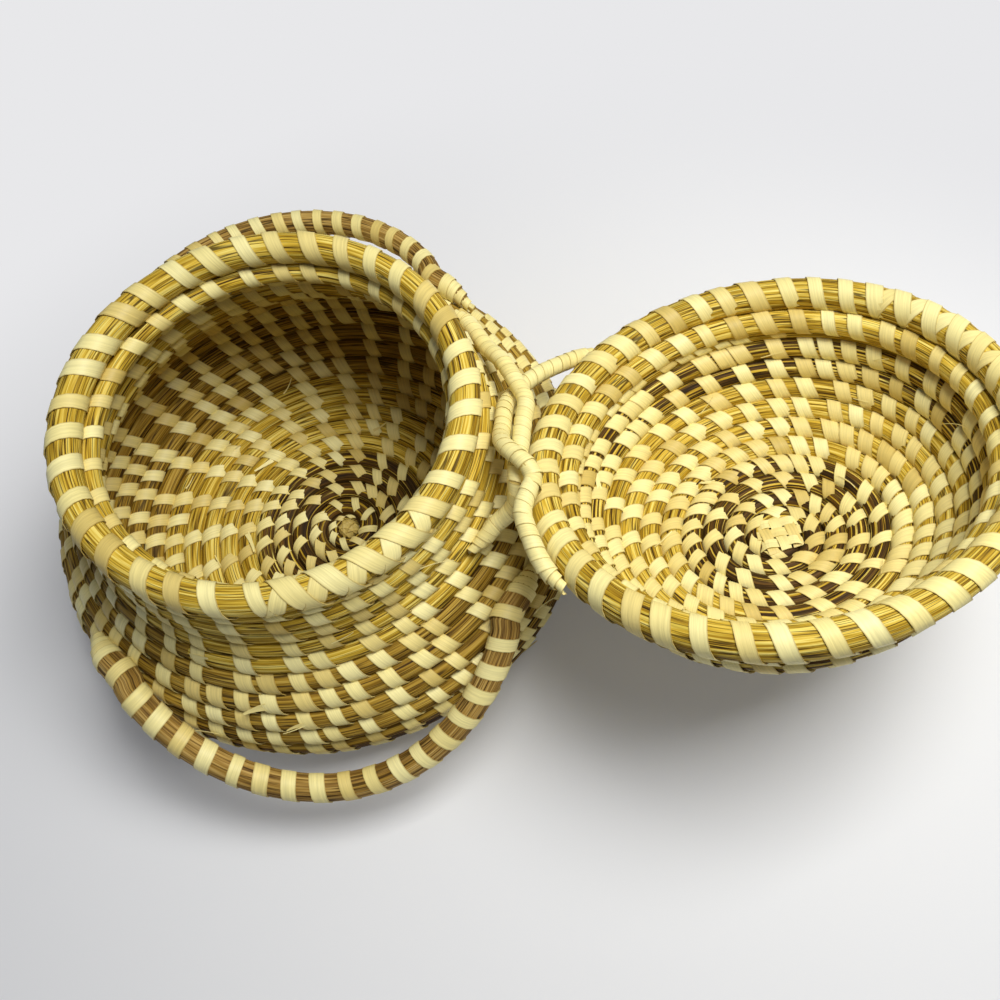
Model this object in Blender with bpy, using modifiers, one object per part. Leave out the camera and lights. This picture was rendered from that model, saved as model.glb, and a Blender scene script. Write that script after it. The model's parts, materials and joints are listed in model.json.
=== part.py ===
"""A coiled sweetgrass basket with a linked lid and two handles, built from its separate pieces.

Grass bundles are wound in flat and rising spirals and sewn with palmetto strip. The lid hangs on the
basket by two wrapped loops that pass through each other like chain links. Metres, +Z up. The origin
is the middle of the base on the floor, and +X points from the basket to the hinge and the open lid.
"""

import math

import bmesh
import bpy
from mathutils import Matrix, Vector

# Bundles and their fit
coil_radius = 0.0040
coil_gap = 0.0006
ledge_coil_radius = 0.0036
lid_coil_radius = 0.00425
rim_coil_radius = 0.0057
lid_rim_coil_radius = 0.0062
front_handle_radius = 0.0057
back_handle_radius = 0.0050
loop_radius = 0.0033
seat_gap = 0.0004
join_gap = 0.0004
taper_share = 0.45
taper_lift_share = 0.8
lid_end_lead = 0.0014

# Basket wall, measured on the middle of its bundle
start_knot_radius = 0.0048
foot_height = 0.0032
wall_line = (
    (0.0770, foot_height),
    (0.0900, 0.0085),
    (0.1020, 0.0185),
    (0.1085, 0.0325),
    (0.1070, 0.0465),
    (0.0995, 0.0580),
    (0.0900, 0.0670),
    (0.0825, 0.0765),
    (0.0780, 0.0880),
    (0.0772, 0.1020),
)

# The two rings at the mouth lie against the wall's last bundle: the rim on top of it, the ledge inside it
rim_lean = math.radians(18.8)
rim_seat_share = 0.926
rim_radius = wall_line[-1][0] - rim_seat_share * (coil_radius + rim_coil_radius) * math.sin(rim_lean)
rim_height = wall_line[-1][1] + rim_seat_share * (coil_radius + rim_coil_radius) * math.cos(rim_lean)
ledge_gap = 0.0002
ledge_radius = wall_line[-1][0] - coil_radius - ledge_coil_radius - ledge_gap
ledge_height = wall_line[-1][1]

# Where the dyed dark bundles change to golden ones, along the wall from the middle of the base
base_centre_end = 0.0440
base_floor_end = 0.0840
lower_wall_end = 0.1190
belly_end = 0.1700

# Lid, shut: its rim lies round the basket's rim, and its crown stands above
lid_edge_overhang = 0.0069
lid_rim_overhang = 0.0072
lid_edge_radius = rim_radius + lid_edge_overhang
lid_rim_radius = lid_edge_radius + lid_rim_overhang
lid_edge_rise = 0.0082
lid_seat_gap = 0.0018
lid_depth = 0.0560
lid_curve_shares = (0.52, 0.80)
lid_centre_end = 0.0440
lid_crown_end = 0.0790
lid_band_end = 0.0960

# Hinge line, beside the lid's rim, and how far the lid stands open
hinge_reach = 0.0057
hinge_drop = 0.0131
hinge_lean = math.radians(8.1)
lid_opening = math.radians(170.8)

# Where the basket's loop is sewn to the wall, as azimuth and height
loop_front_azimuth = math.radians(-28.0)
loop_front_height = 0.0780
loop_bend_azimuth = math.radians(-21.0)
loop_bend_height = 0.0800
loop_back_azimuth = math.radians(47.0)
loop_back_height = 0.0800
loop_seat_extra = 0.0014

# The two loops between their sewn ends: along the hinge line, out from the basket, up
basket_loop_line = (
    (-0.0260, -0.0040, -0.0140),
    (-0.0242, -0.0009, -0.0090),
    (-0.0222, 0.0000, -0.0038),
    (-0.0185, 0.0000, 0.0000),
    (-0.0060, 0.0000, 0.0000),
    (0.0060, 0.0000, 0.0000),
    (0.0165, 0.0000, 0.0000),
    (0.0240, -0.0036, 0.0000),
    (0.0305, -0.0074, 0.0000),
    (0.0370, -0.0115, -0.0005),
    (0.0480, -0.0200, -0.0040),
)
lid_loop_line = (
    (0.0620, 0.0240, -0.0200),
    (0.0560, 0.0170, -0.0182),
    (0.0480, 0.0095, -0.0142),
    (0.0410, 0.0024, -0.0118),
    (0.0340, -0.0030, -0.0102),
    (0.0275, -0.0064, -0.0086),
    (0.0200, -0.0081, -0.0052),
    (0.0130, -0.0082, -0.0018),
    (0.0040, -0.0076, 0.0000),
    (-0.0030, -0.0071, 0.0026),
    (-0.0090, -0.0048, 0.0060),
    (-0.0140, -0.0008, 0.0083),
    (-0.0180, 0.0040, 0.0080),
    (-0.0210, 0.0066, 0.0066),
    (-0.0240, 0.0073, 0.0060),
    (-0.0300, 0.0060, 0.0066),
    (-0.0380, 0.0050, 0.0063),
    (-0.0470, 0.0082, 0.0050),
    (-0.0570, 0.0136, 0.0022),
    (-0.0650, 0.0206, 0.0010),
)

# Handles: sewn ends on the wall, and the bow between them, as azimuth, spread, heights and room at the belly
sewn_spread = math.radians(11.0)
front_handle_azimuth = math.radians(-78.0)
front_handle_spread = math.radians(55.5)
front_handle_end_height = 0.0580
front_handle_clearance = 0.0088
front_handle_height = 0.0310
back_handle_azimuth = math.radians(107.0)
back_handle_spread = math.radians(52.5)
back_handle_end_height = 0.0610
back_handle_clearance = 0.0110
back_handle_height = 0.0640
handle_out_share = 0.8
handle_down_share = 1.15
front_handle_tuck = 0.0009
back_handle_tuck = 0.0004

# Wrapped lashings round sewn ends, and the crossed strips over each rim's splice
binding_wall = 0.0008
binding_clearance = 0.0003
handle_lashing_length = 0.0120
loop_lashing_length = 0.0080
strip_width = 0.0045
strip_thickness = 0.0006
strip_clearance = 0.0004
strip_pitch = 0.0095
strip_slant = 0.0042
strip_crossings = 4
strip_open_angle = math.radians(120.0)
strip_back_open_angle = math.radians(134.0)
rim_splice_azimuth = math.radians(-52.5)
ledge_splice_azimuth = math.radians(-45.0)
lid_splice_azimuth = math.radians(142.5)

# Facets
coil_points = 24
inner_coil_points = 12
lid_coil_points = 20
rim_points = 48
fine_radius_share = 7.0
curve_steps = 60
route_steps = 44
handle_points = 40
round_steps = 16
tapered_points = 4
strip_steps = 10
strip_back_steps = 13
over = 0.0100

X_AXIS = Vector((1.0, 0.0, 0.0))
Z_AXIS = Vector((0.0, 0.0, 1.0))
HINGE_AXIS = Vector((0.0, math.cos(hinge_lean), -math.sin(hinge_lean)))
HINGE_UP = HINGE_AXIS.cross(X_AXIS) * -1.0


def clear_scene():
    """Removes every object of the startup scene."""
    for old in list(bpy.data.objects):
        bpy.data.objects.remove(old, do_unlink=True)


def new_collection(name):
    """A collection linked to the scene."""
    made = bpy.data.collections.new(name)
    bpy.context.scene.collection.children.link(made)
    return made


def finish(name, colour, roughness):
    """A Principled material of one colour."""
    made = bpy.data.materials.new(name)
    made.use_nodes = True
    shader = made.node_tree.nodes["Principled BSDF"]
    shader.inputs["Base Color"].default_value = (*colour, 1.0)
    shader.inputs["Roughness"].default_value = roughness
    shader.inputs["Metallic"].default_value = 0.0
    return made


def polar(radius, azimuth, height):
    """A point from its distance to the basket's axis, its azimuth and its height."""
    return Vector((radius * math.cos(azimuth), radius * math.sin(azimuth), height))


def bezier(start, pull_start, pull_end, end, steps):
    """Points of a cubic Bezier curve, both ends included."""
    points = []
    for step in range(steps + 1):
        t = step / steps
        u = 1.0 - t
        points.append(start * u**3 + pull_start * (3 * u * u * t) + pull_end * (3 * u * t * t) + end * t**3)
    return points


def through(points):
    """A finely stepped smooth curve through a few points."""
    padded = [points[0] * 2 - points[1], *points, points[-1] * 2 - points[-2]]
    fine = []
    for index in range(1, len(padded) - 2):
        a, b, c, d = padded[index - 1:index + 3]
        for step in range(curve_steps):
            t = step / curve_steps
            fine.append(
                0.5 * (b * 2 + (c - a) * t + (a * 2 - b * 5 + c * 4 - d) * t * t + (b * 3 - a - c * 3 + d) * t**3)
            )
    return [*fine, points[-1]]


class Profile:
    """A line in the plane of radius and height, walked by its length."""

    def __init__(self, points):
        self.points = [points[0]]
        self.lengths = [0.0]
        for point in points[1:]:
            step = (point - self.points[-1]).length
            if step > 0.0:
                self.points.append(point)
                self.lengths.append(self.lengths[-1] + step)

    @property
    def length(self):
        return self.lengths[-1]

    def at(self, distance):
        """The point at this length, and past either end on the last stretch's line."""
        index = 1
        while index < len(self.lengths) - 1 and self.lengths[index] < distance:
            index += 1
        low, high = self.lengths[index - 1], self.lengths[index]
        return self.points[index - 1].lerp(self.points[index], (distance - low) / (high - low))

    def at_height(self, height):
        """The length at which the outer wall reaches this height."""
        for index in range(1, len(self.points)):
            low, high = self.points[index - 1].y, self.points[index].y
            if low < height <= high:
                share = (height - low) / (high - low)
                return self.lengths[index - 1] + share * (self.lengths[index] - self.lengths[index - 1])
        return self.length

    def outward(self, distance):
        """The unit direction away from the hollow at this length."""
        ahead = self.at(distance + coil_gap) - self.at(distance - coil_gap)
        return Vector((ahead.y, -ahead.x)).normalized()


def wall_profile():
    """The basket's wall: flat foot, full belly, shoulder, neck."""
    centre = Vector((0.0, foot_height))
    return Profile([centre, *through([Vector(point) for point in wall_line])])


def lid_profile():
    """The shut lid from the middle of its crown down to its edge bundle, heights above its rim."""
    crown = Vector((0.0, lid_depth))
    edge = Vector((lid_edge_radius, lid_edge_rise))
    crown_out = Vector((lid_edge_radius * lid_curve_shares[0], 0.0))
    edge_up = Vector((0.0, (lid_depth - lid_edge_rise) * lid_curve_shares[1]))
    return Profile(bezier(crown, crown + crown_out, edge + edge_up, edge, curve_steps))


def shut_height():
    """The height of the shut lid's rim, with its edge bundle seated on the basket's rim."""
    reach = rim_coil_radius + lid_coil_radius + lid_seat_gap
    aside = lid_edge_radius - rim_radius
    return rim_height + math.sqrt(reach * reach - aside * aside) - lid_edge_rise


def hinge_point():
    """The hinge line's point over the +X axis."""
    return Vector((lid_rim_radius + hinge_reach, 0.0, shut_height() - hinge_drop))


def about_hinge(along, out, up):
    """A point by its place along the hinge line and its distances out and up from it."""
    return hinge_point() + HINGE_AXIS * along + X_AXIS * out + HINGE_UP * up


def thickness_at(index, last, tapered):
    """A tapered bundle's thickness at a point, as a share of the whole."""
    left = last - index
    return 1.0 if left >= tapered else taper_share + (1.0 - taper_share) * left / tapered


def spiral(profile, start, end, pitch, first, points_per_turn, fine_from):
    """Points of a bundle wound along a profile, its ends on the straight stretches between corners."""
    first_turn = (start - first) / pitch
    last_turn = (end - first) / pitch

    def corner(turn):
        at = profile.at(first + turn * pitch)
        return polar(at.x, turn * math.tau, at.y)

    def next_corner(turn):
        radius = profile.at(first + turn * pitch).x
        step = 1.0 / (points_per_turn if radius > fine_from else inner_coil_points)
        return (math.floor(turn / step + 0.5) + 1) * step

    corners = [0.0]
    while corners[-1] < last_turn:
        corners.append(next_corner(corners[-1]))

    def on_chord(turn):
        index = next(index for index, value in enumerate(corners) if value >= turn or value == corners[-1])
        low, high = corners[max(index - 1, 0)], corners[max(index, 1)]
        return corner(low).lerp(corner(high), (turn - low) / (high - low))

    inner = [turn for turn in corners if first_turn < turn < last_turn]
    return [on_chord(first_turn), *[corner(turn) for turn in inner], on_chord(last_turn)]


def winding(profile, ends, pitch, first, points_per_turn, fine_from):
    """Splits one winding at the given lengths into unbroken bundles with a small gap between them."""
    lengths = [first, *ends]
    half = join_gap / 2
    pieces = []
    for index in range(len(ends)):
        circle = math.tau * profile.at(lengths[index]).x
        skip = half * pitch / circle
        start = lengths[index] + (skip if index else 0.0)
        circle = math.tau * profile.at(lengths[index + 1]).x
        stop = lengths[index + 1] - half * pitch / circle
        pieces.append(spiral(profile, start, stop, pitch, first, points_per_turn, fine_from))
    return pieces


def lifted(points, tapered, radius, towards):
    """Keeps a tapering bundle's one side on its neighbour by moving its middle towards it."""
    last = len(points) - 1
    lifts = [(1.0 - thickness_at(index, last, tapered)) * radius * taper_lift_share for index in range(last + 1)]
    return [point + towards * lift for point, lift in zip(points, lifts)]


def ring(radius, height, start_azimuth, points_per_turn):
    """A full turn whose two ends meet with a small gap."""
    half = join_gap / 2 / radius
    points = [polar(radius, start_azimuth + half, height)]
    for step in range(1, points_per_turn):
        points.append(polar(radius, start_azimuth + step * math.tau / points_per_turn, height))
    points.append(polar(radius, start_azimuth - half, height))
    return points


def least_gap(points, radius, apart):
    """The least clear space between turns of one bundle that lie at least this many points apart."""
    least = math.inf
    for index, point in enumerate(points):
        for other in points[index + apart:]:
            least = min(least, (point - other).length)
    return least - 2 * radius


def even_points(fine, steps):
    """Points at equal spacing along a finely stepped line."""
    walked = [0.0]
    for before, after in zip(fine, fine[1:]):
        walked.append(walked[-1] + (after - before).length)
    points = []
    index = 1
    for step in range(steps + 1):
        goal = walked[-1] * step / steps
        while index < len(walked) - 1 and walked[index] < goal:
            index += 1
        share = (goal - walked[index - 1]) / (walked[index] - walked[index - 1])
        points.append(fine[index - 1].lerp(fine[index], share))
    return points


def tube(name, points, radius, material, collection, resolution, tapered=0):
    """A bundle: a round tube through points, which may taper over the last of them."""
    curve = bpy.data.curves.new(name, "CURVE")
    curve.dimensions = "3D"
    curve.bevel_depth = radius
    curve.bevel_resolution = resolution
    curve.use_fill_caps = True
    spline = curve.splines.new("POLY")
    spline.points.add(len(points) - 1)
    last = len(points) - 1
    for index, point in enumerate(points):
        spline.points[index].co = (*point, 1.0)
        spline.points[index].radius = thickness_at(index, last, tapered)
    curve.materials.append(material)
    made = bpy.data.objects.new(name, curve)
    collection.objects.link(made)
    return made


def as_mesh(piece):
    """Turns a curve into a mesh with welded caps, under the same name."""
    bpy.context.view_layer.update()
    graph = bpy.context.evaluated_depsgraph_get()
    mesh = bpy.data.meshes.new_from_object(piece.evaluated_get(graph))
    shape = bmesh.new()
    shape.from_mesh(mesh)
    bmesh.ops.remove_doubles(shape, verts=shape.verts, dist=coil_gap / 100)
    bmesh.ops.recalc_face_normals(shape, faces=shape.faces)
    shape.to_mesh(mesh)
    shape.free()
    name = piece.name
    place = piece.matrix_world.copy()
    collection = piece.users_collection[0]
    bpy.data.objects.remove(piece, do_unlink=True)
    made = bpy.data.objects.new(name, mesh)
    made.matrix_world = place
    collection.objects.link(made)
    return made


def floor_cutter(collection):
    """A block under the floor, which cuts what rests on it flat."""
    shape = bmesh.new()
    bmesh.ops.create_cube(shape, size=1.0)
    wide = 2 * (max(radius for radius, height in wall_line) + front_handle_radius + over)
    scale = Vector((wide, wide, over))
    bmesh.ops.scale(shape, vec=scale, verts=shape.verts)
    bmesh.ops.translate(shape, vec=(0.0, 0.0, -over / 2), verts=shape.verts)
    mesh = bpy.data.meshes.new("floor_cutter")
    shape.to_mesh(mesh)
    shape.free()
    made = bpy.data.objects.new("floor_cutter", mesh)
    made.hide_render = True
    made.display_type = "WIRE"
    collection.objects.link(made)
    return made


def cut_flat(piece, cutter):
    """Takes away what lies under the floor."""
    boolean = piece.modifiers.new("floor", "BOOLEAN")
    boolean.operation = "DIFFERENCE"
    boolean.solver = "EXACT"
    boolean.object = cutter


def ball(name, radius, centre, material, collection):
    """A round knot."""
    shape = bmesh.new()
    bmesh.ops.create_uvsphere(shape, u_segments=round_steps, v_segments=round_steps // 2, radius=radius)
    bmesh.ops.translate(shape, vec=centre, verts=shape.verts)
    mesh = bpy.data.meshes.new(name)
    shape.to_mesh(mesh)
    shape.free()
    mesh.shade_smooth()
    mesh.materials.append(material)
    made = bpy.data.objects.new(name, mesh)
    collection.objects.link(made)
    return made


def end_cup(name, end, ahead, radius, length, material, collection):
    """A wrapped binding round the end of a tube: a cup with a round bottom, turned about the tube."""
    bore = radius + binding_clearance
    outer = bore + binding_wall
    shape = bmesh.new()
    profile = [(bore, length), (bore, -binding_clearance), (0.0, -binding_clearance)]
    quarter = round_steps // 4
    for step in range(quarter + 1):
        angle = math.pi / 2 * step / quarter
        profile.append((outer * math.sin(angle), -outer * math.cos(angle)))
    profile.append((outer, length))
    points = [shape.verts.new((x, 0.0, z)) for x, z in profile]
    for before, after in zip(points, points[1:]):
        shape.edges.new((before, after))
    shape.edges.new((points[-1], points[0]))
    mesh = bpy.data.meshes.new(name)
    shape.to_mesh(mesh)
    shape.free()
    mesh.materials.append(material)
    made = bpy.data.objects.new(name, mesh)
    collection.objects.link(made)
    made.matrix_world = Matrix.Translation(end) @ ahead.to_track_quat("Z", "Y").to_matrix().to_4x4()
    screw = made.modifiers.new("turn", "SCREW")
    screw.steps = round_steps
    screw.render_steps = round_steps
    screw.use_merge_vertices = True
    screw.merge_threshold = coil_gap / 100
    screw.use_normal_calculate = True
    return made


def leaning_strips(
    name, radius, height, inner, splice, open_towards, lean, gap_angle, steps, material, collection
):
    """Short palmetto strips over a rim, all leaning one way."""
    corner = math.tau / rim_points
    shape = bmesh.new()

    def place(azimuth, reach, angle):
        local = (azimuth - splice) % corner - corner / 2
        middle = radius * math.cos(corner / 2) / math.cos(local)
        return polar(middle + reach * math.cos(angle), azimuth, height + reach * math.sin(angle))

    outer = inner + strip_thickness
    half = strip_width / 2 / radius
    for index in range(strip_crossings):
        middle = splice + (index - (strip_crossings - 1) / 2) * strip_pitch / radius
        rows = []
        for step in range(steps + 1):
            share = step / steps
            angle = open_towards + gap_angle / 2 + (math.tau - gap_angle) * share
            along = middle + lean * strip_slant * (2 * share - 1) / radius
            corners = ((-1, inner), (1, inner), (1, outer), (-1, outer))
            rows.append([shape.verts.new(place(along + side * half, reach, angle)) for side, reach in corners])
        for row, other in zip(rows, rows[1:]):
            for side in range(4):
                after = (side + 1) % 4
                shape.faces.new((row[side], row[after], other[after], other[side]))
        shape.faces.new(rows[0])
        shape.faces.new(rows[-1])
    bmesh.ops.recalc_face_normals(shape, faces=shape.faces)
    mesh = bpy.data.meshes.new(name)
    shape.to_mesh(mesh)
    shape.free()
    mesh.materials.append(material)
    made = bpy.data.objects.new(name, mesh)
    collection.objects.link(made)
    return made


def crossed_strips(name, radius, height, tube_radius, splice, open_towards, material, collection, cutters):
    """One palmetto strip sewn there and back over a rim's splice, joined where it crosses itself."""
    inner = tube_radius + strip_clearance
    there = leaning_strips(
        name, radius, height, inner, splice, open_towards, -1, strip_open_angle, strip_steps, material, collection
    )
    inner += strip_thickness / 2
    back = leaning_strips(
        f"{name}_back", radius, height, inner, splice, open_towards, 1, strip_back_open_angle, strip_back_steps,
        material, cutters,
    )
    back.hide_render = True
    back.display_type = "WIRE"
    join = there.modifiers.new("crossing", "BOOLEAN")
    join.operation = "UNION"
    join.solver = "EXACT"
    join.object = back
    return there


def joint_empty(name, place, collection):
    """An empty on a joint's axis."""
    made = bpy.data.objects.new(name, None)
    made.location = place
    collection.objects.link(made)
    bpy.context.view_layer.update()
    return made


def hang(pieces, empty):
    """Parents pieces to an empty without moving them."""
    bpy.context.view_layer.update()
    for piece in pieces:
        place = piece.matrix_world.copy()
        piece.parent = empty
        piece.matrix_parent_inverse = empty.matrix_world.inverted()
        piece.matrix_world = place


def basket_coils(profile, parts, cutters, looks):
    """The wound basket: dark base, golden floor, dark lower wall, golden belly, neck and rim."""
    cutter = floor_cutter(cutters)
    pitch = 2 * coil_radius + coil_gap
    first = start_knot_radius + seat_gap + coil_radius
    fine_from = coil_radius * fine_radius_share
    names = ("base_centre_coil", "base_floor_coil", "lower_wall_coil", "belly_coil", "neck_coil")
    finishes = (looks["dark"], looks["grass"], looks["dark"], looks["grass"], looks["grass"])
    ends = (base_centre_end, base_floor_end, lower_wall_end, belly_end, profile.length)
    routes = winding(profile, ends, pitch, first, coil_points, fine_from)
    made = []
    for name, route, look in zip(names, routes, finishes):
        tapered = tapered_points if name == "neck_coil" else 0
        route = lifted(route, tapered, coil_radius, Z_AXIS)
        piece = tube(name, route, coil_radius, look, parts, 1, tapered)
        gap = least_gap(route, coil_radius, inner_coil_points - 2)
        print(f"{name}: least gap to itself {gap * 1000:.2f} mm")
        if name.startswith("base"):
            piece = as_mesh(piece)
            cut_flat(piece, cutter)
        made.append(piece)
    knot = ball(
        "base_start_knot", start_knot_radius, Vector((0.0, 0.0, profile.at(0.0).y)), looks["palmetto"], parts
    )
    cut_flat(knot, cutter)
    ledge = ring(ledge_radius, ledge_height, ledge_splice_azimuth, coil_points)
    rim = ring(rim_radius, rim_height, rim_splice_azimuth, rim_points)
    towards = math.atan2(ledge_height - rim_height, ledge_radius - rim_radius)
    return [
        *made,
        knot,
        tube("mouth_ledge_coil", ledge, ledge_coil_radius, looks["grass"], parts, 1),
        tube("rim_coil", rim, rim_coil_radius, looks["grass"], parts, 2),
        crossed_strips(
            "rim_cross_binding", rim_radius, rim_height, rim_coil_radius, rim_splice_azimuth, towards,
            looks["palmetto"], parts, cutters,
        ),
    ]


def lid_coils(profile, parts, cutters, looks):
    """The wound lid, modelled shut: knot, dark centre, golden crown, mixed band, edge and rim."""
    pitch = 2 * lid_coil_radius + coil_gap
    first = start_knot_radius + seat_gap + lid_coil_radius
    fine_from = lid_coil_radius * fine_radius_share
    names = ("lid_centre_coil", "lid_crown_coil", "lid_band_coil", "lid_edge_coil")
    finishes = (looks["dark"], looks["grass"], looks["dark"], looks["grass"])
    ends = (lid_centre_end, lid_crown_end, lid_band_end, profile.length - pitch + lid_end_lead)
    rise = Vector((0.0, 0.0, shut_height()))
    made = []
    for name, route, look in zip(
        names, winding(profile, ends, pitch, first, lid_coil_points, fine_from), finishes
    ):
        tapered = tapered_points if name == "lid_edge_coil" else 0
        gap = least_gap(route, lid_coil_radius, inner_coil_points - 2)
        if gap < math.inf:
            print(f"{name}: least gap to itself {gap * 1000:.2f} mm")
        raised = lifted([point + rise for point in route], tapered, lid_coil_radius, Z_AXIS * -1.0)
        made.append(tube(name, raised, lid_coil_radius, look, parts, 1, tapered))
    made.append(
        ball("lid_start_knot", start_knot_radius, rise + Z_AXIS * profile.at(0.0).y, looks["palmetto"], parts)
    )
    edge = ring(lid_edge_radius, shut_height() + lid_edge_rise, lid_splice_azimuth + math.pi, rim_points)
    made.append(tube("lid_seat_coil", edge, lid_coil_radius, looks["grass"], parts, 1))
    rim = ring(lid_rim_radius, shut_height(), lid_splice_azimuth, rim_points)
    made.append(tube("lid_rim_coil", rim, lid_rim_coil_radius, looks["grass"], parts, 2))
    towards = math.atan2(lid_edge_rise, lid_edge_radius - lid_rim_radius)
    made.append(
        crossed_strips(
            "lid_rim_cross_binding", lid_rim_radius, shut_height(), lid_rim_coil_radius, lid_splice_azimuth,
            towards, looks["palmetto"], parts, cutters,
        )
    )
    return made


def wall_seat(profile, height, azimuth, stand_off):
    """A point outside the wall at this height, its distance measured square to the wall."""
    length = profile.at_height(height)
    middle = profile.at(length) + profile.outward(length) * stand_off
    return polar(middle.x, azimuth, middle.y)


def basket_loop_route(profile):
    """The basket's hinge loop: sewn end, leg, bar on the hinge line, leg, sewn end."""
    stand_off = coil_radius + loop_radius + binding_clearance + binding_wall + seat_gap + loop_seat_extra
    front = wall_seat(profile, loop_front_height, loop_front_azimuth, stand_off)
    bend = wall_seat(profile, loop_bend_height, loop_bend_azimuth, stand_off)
    back = wall_seat(profile, loop_back_height, loop_back_azimuth, stand_off)
    line = [about_hinge(*place) for place in basket_loop_line]
    return even_points(through([front, bend, *line, back]), route_steps)


def lid_loop_route():
    """The lid's hinge loop, lid open: from the rim under the bar, round behind it, over it, to the rim."""
    return even_points(through([about_hinge(*place) for place in lid_loop_line]), route_steps)


def handle_route(profile, radius, azimuth, spread, end_height, clearance, apex_height, tuck):
    """A handle's middle line: along the wall where it is sewn, then out and down over the belly."""
    stand_off = coil_radius + radius + binding_clearance + binding_wall + seat_gap - tuck
    seat = wall_seat(profile, end_height, 0.0, stand_off)
    reach = max(point.x for point in profile.points) + coil_radius + radius + clearance
    points = []
    for step in range(handle_points + 1):
        angle = spread * (2 * step / handle_points - 1)
        share = max(0.0, 1.0 - abs(angle) / (spread - sewn_spread))
        bow = math.sin(share * math.pi / 2)
        out = seat.x + (reach - seat.x) * bow**handle_out_share
        down = seat.z + (apex_height - seat.z) * bow**handle_down_share
        points.append(polar(out, azimuth + angle, down))
    return points


def straight_start(points, length):
    """Gives a route a straight first stretch of this length, in line with what follows it."""
    walked = 0.0
    index = 0
    while walked < length:
        walked += (points[index + 1] - points[index]).length
        index += 1
    back = (points[index] - points[index + 1]).normalized()
    return [points[index] + back * walked, *points[index + 1:]]


def lashed(name, route, radius, lashing_length, labels, look, parts, looks):
    """A sewn-on piece with the wrapped lashings of its two ends."""
    route = straight_start(straight_start(route, lashing_length)[::-1], lashing_length)[::-1]
    pieces = [tube(name, route, radius, look, parts, 2)]
    for label, end, ahead in zip(labels, (route[0], route[-1]), (route[1], route[-2])):
        towards = (ahead - end).normalized()
        pieces.append(
            end_cup(f"{name}_{label}_lashing", end, towards, radius, lashing_length, looks["palmetto"], parts)
        )
    return pieces


def main():
    clear_scene()
    parts = new_collection("coiled_basket")
    cutters = new_collection("cutters")
    looks = {
        "grass": finish("sweetgrass", (0.48, 0.31, 0.09), 0.65),
        "dark": finish("dyed_grass", (0.10, 0.05, 0.02), 0.65),
        "palmetto": finish("palmetto_strip", (0.82, 0.70, 0.36), 0.55),
    }
    wall = wall_profile()
    basket_coils(wall, parts, cutters, looks)
    front = handle_route(
        wall, front_handle_radius, front_handle_azimuth, front_handle_spread, front_handle_end_height,
        front_handle_clearance, front_handle_height, front_handle_tuck,
    )
    back = handle_route(
        wall, back_handle_radius, back_handle_azimuth, back_handle_spread, back_handle_end_height,
        back_handle_clearance, back_handle_height, back_handle_tuck,
    )
    grass, palmetto = looks["grass"], looks["palmetto"]
    sewn = handle_lashing_length
    lashed("front_handle", front, front_handle_radius, sewn, ("left", "right"), grass, parts, looks)
    lashed("back_handle", back, back_handle_radius, sewn, ("right", "left"), grass, parts, looks)
    sewn = loop_lashing_length
    loop = basket_loop_route(wall)
    lashed("basket_hinge_loop", loop, loop_radius, sewn, ("front", "back"), palmetto, parts, looks)
    lid = lid_coils(lid_profile(), parts, cutters, looks)
    hinge = joint_empty("lid_hinge", hinge_point(), parts)
    bpy.context.view_layer.update()
    hang([*lid, *[piece for piece in cutters.objects if piece.name.startswith("lid")]], hinge)
    hinge.matrix_world = Matrix.Translation(hinge_point()) @ Matrix.Rotation(lid_opening, 4, HINGE_AXIS)
    bpy.context.view_layer.update()
    loop = lid_loop_route()
    hang(lashed("lid_hinge_loop", loop, loop_radius, sewn, ("back", "front"), palmetto, parts, looks), hinge)
    print(f"lid shut at {shut_height():.5f}, hinge {[round(v, 5) for v in hinge_point()]}")


main()
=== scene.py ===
"""Looks of a coiled sweetgrass basket with a lid that hangs open on two linked, wrapped loops.

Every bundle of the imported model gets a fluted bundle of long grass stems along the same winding, and
the palmetto strip that sews it: stitch after stitch, each over its bundle and into the row before it.
The metres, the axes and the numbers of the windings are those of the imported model.
"""

import json
import logging
import math
import random
from dataclasses import dataclass, field
from enum import Enum
from typing import Any

import bmesh
import bpy
import numpy as np
from mathutils import Matrix, Vector

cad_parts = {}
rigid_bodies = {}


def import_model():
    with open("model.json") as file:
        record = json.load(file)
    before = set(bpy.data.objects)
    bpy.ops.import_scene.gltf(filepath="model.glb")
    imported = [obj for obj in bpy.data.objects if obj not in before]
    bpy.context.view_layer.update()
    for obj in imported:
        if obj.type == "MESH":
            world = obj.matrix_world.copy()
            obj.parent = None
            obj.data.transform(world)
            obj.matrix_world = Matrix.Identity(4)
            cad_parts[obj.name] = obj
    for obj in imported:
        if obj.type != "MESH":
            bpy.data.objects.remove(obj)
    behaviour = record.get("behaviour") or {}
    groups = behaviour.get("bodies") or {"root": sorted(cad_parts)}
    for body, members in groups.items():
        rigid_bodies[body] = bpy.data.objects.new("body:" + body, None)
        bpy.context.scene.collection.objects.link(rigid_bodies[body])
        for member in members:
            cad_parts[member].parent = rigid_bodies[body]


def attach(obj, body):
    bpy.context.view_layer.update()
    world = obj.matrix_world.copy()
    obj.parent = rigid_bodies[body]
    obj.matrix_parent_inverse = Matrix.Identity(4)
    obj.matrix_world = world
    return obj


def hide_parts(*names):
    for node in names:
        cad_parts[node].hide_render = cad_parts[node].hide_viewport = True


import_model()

LOG = logging.getLogger("basket")
MM = 0.001


class Body(Enum):
    """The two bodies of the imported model."""

    BASKET = "basket"
    LID = "lid"


class Slot(Enum):
    """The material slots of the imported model."""

    GRASS = "sweetgrass"
    DYED = "dyed_grass"
    PALMETTO = "palmetto"


# ---------------------------------------------------------------- colour and node helpers


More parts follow.
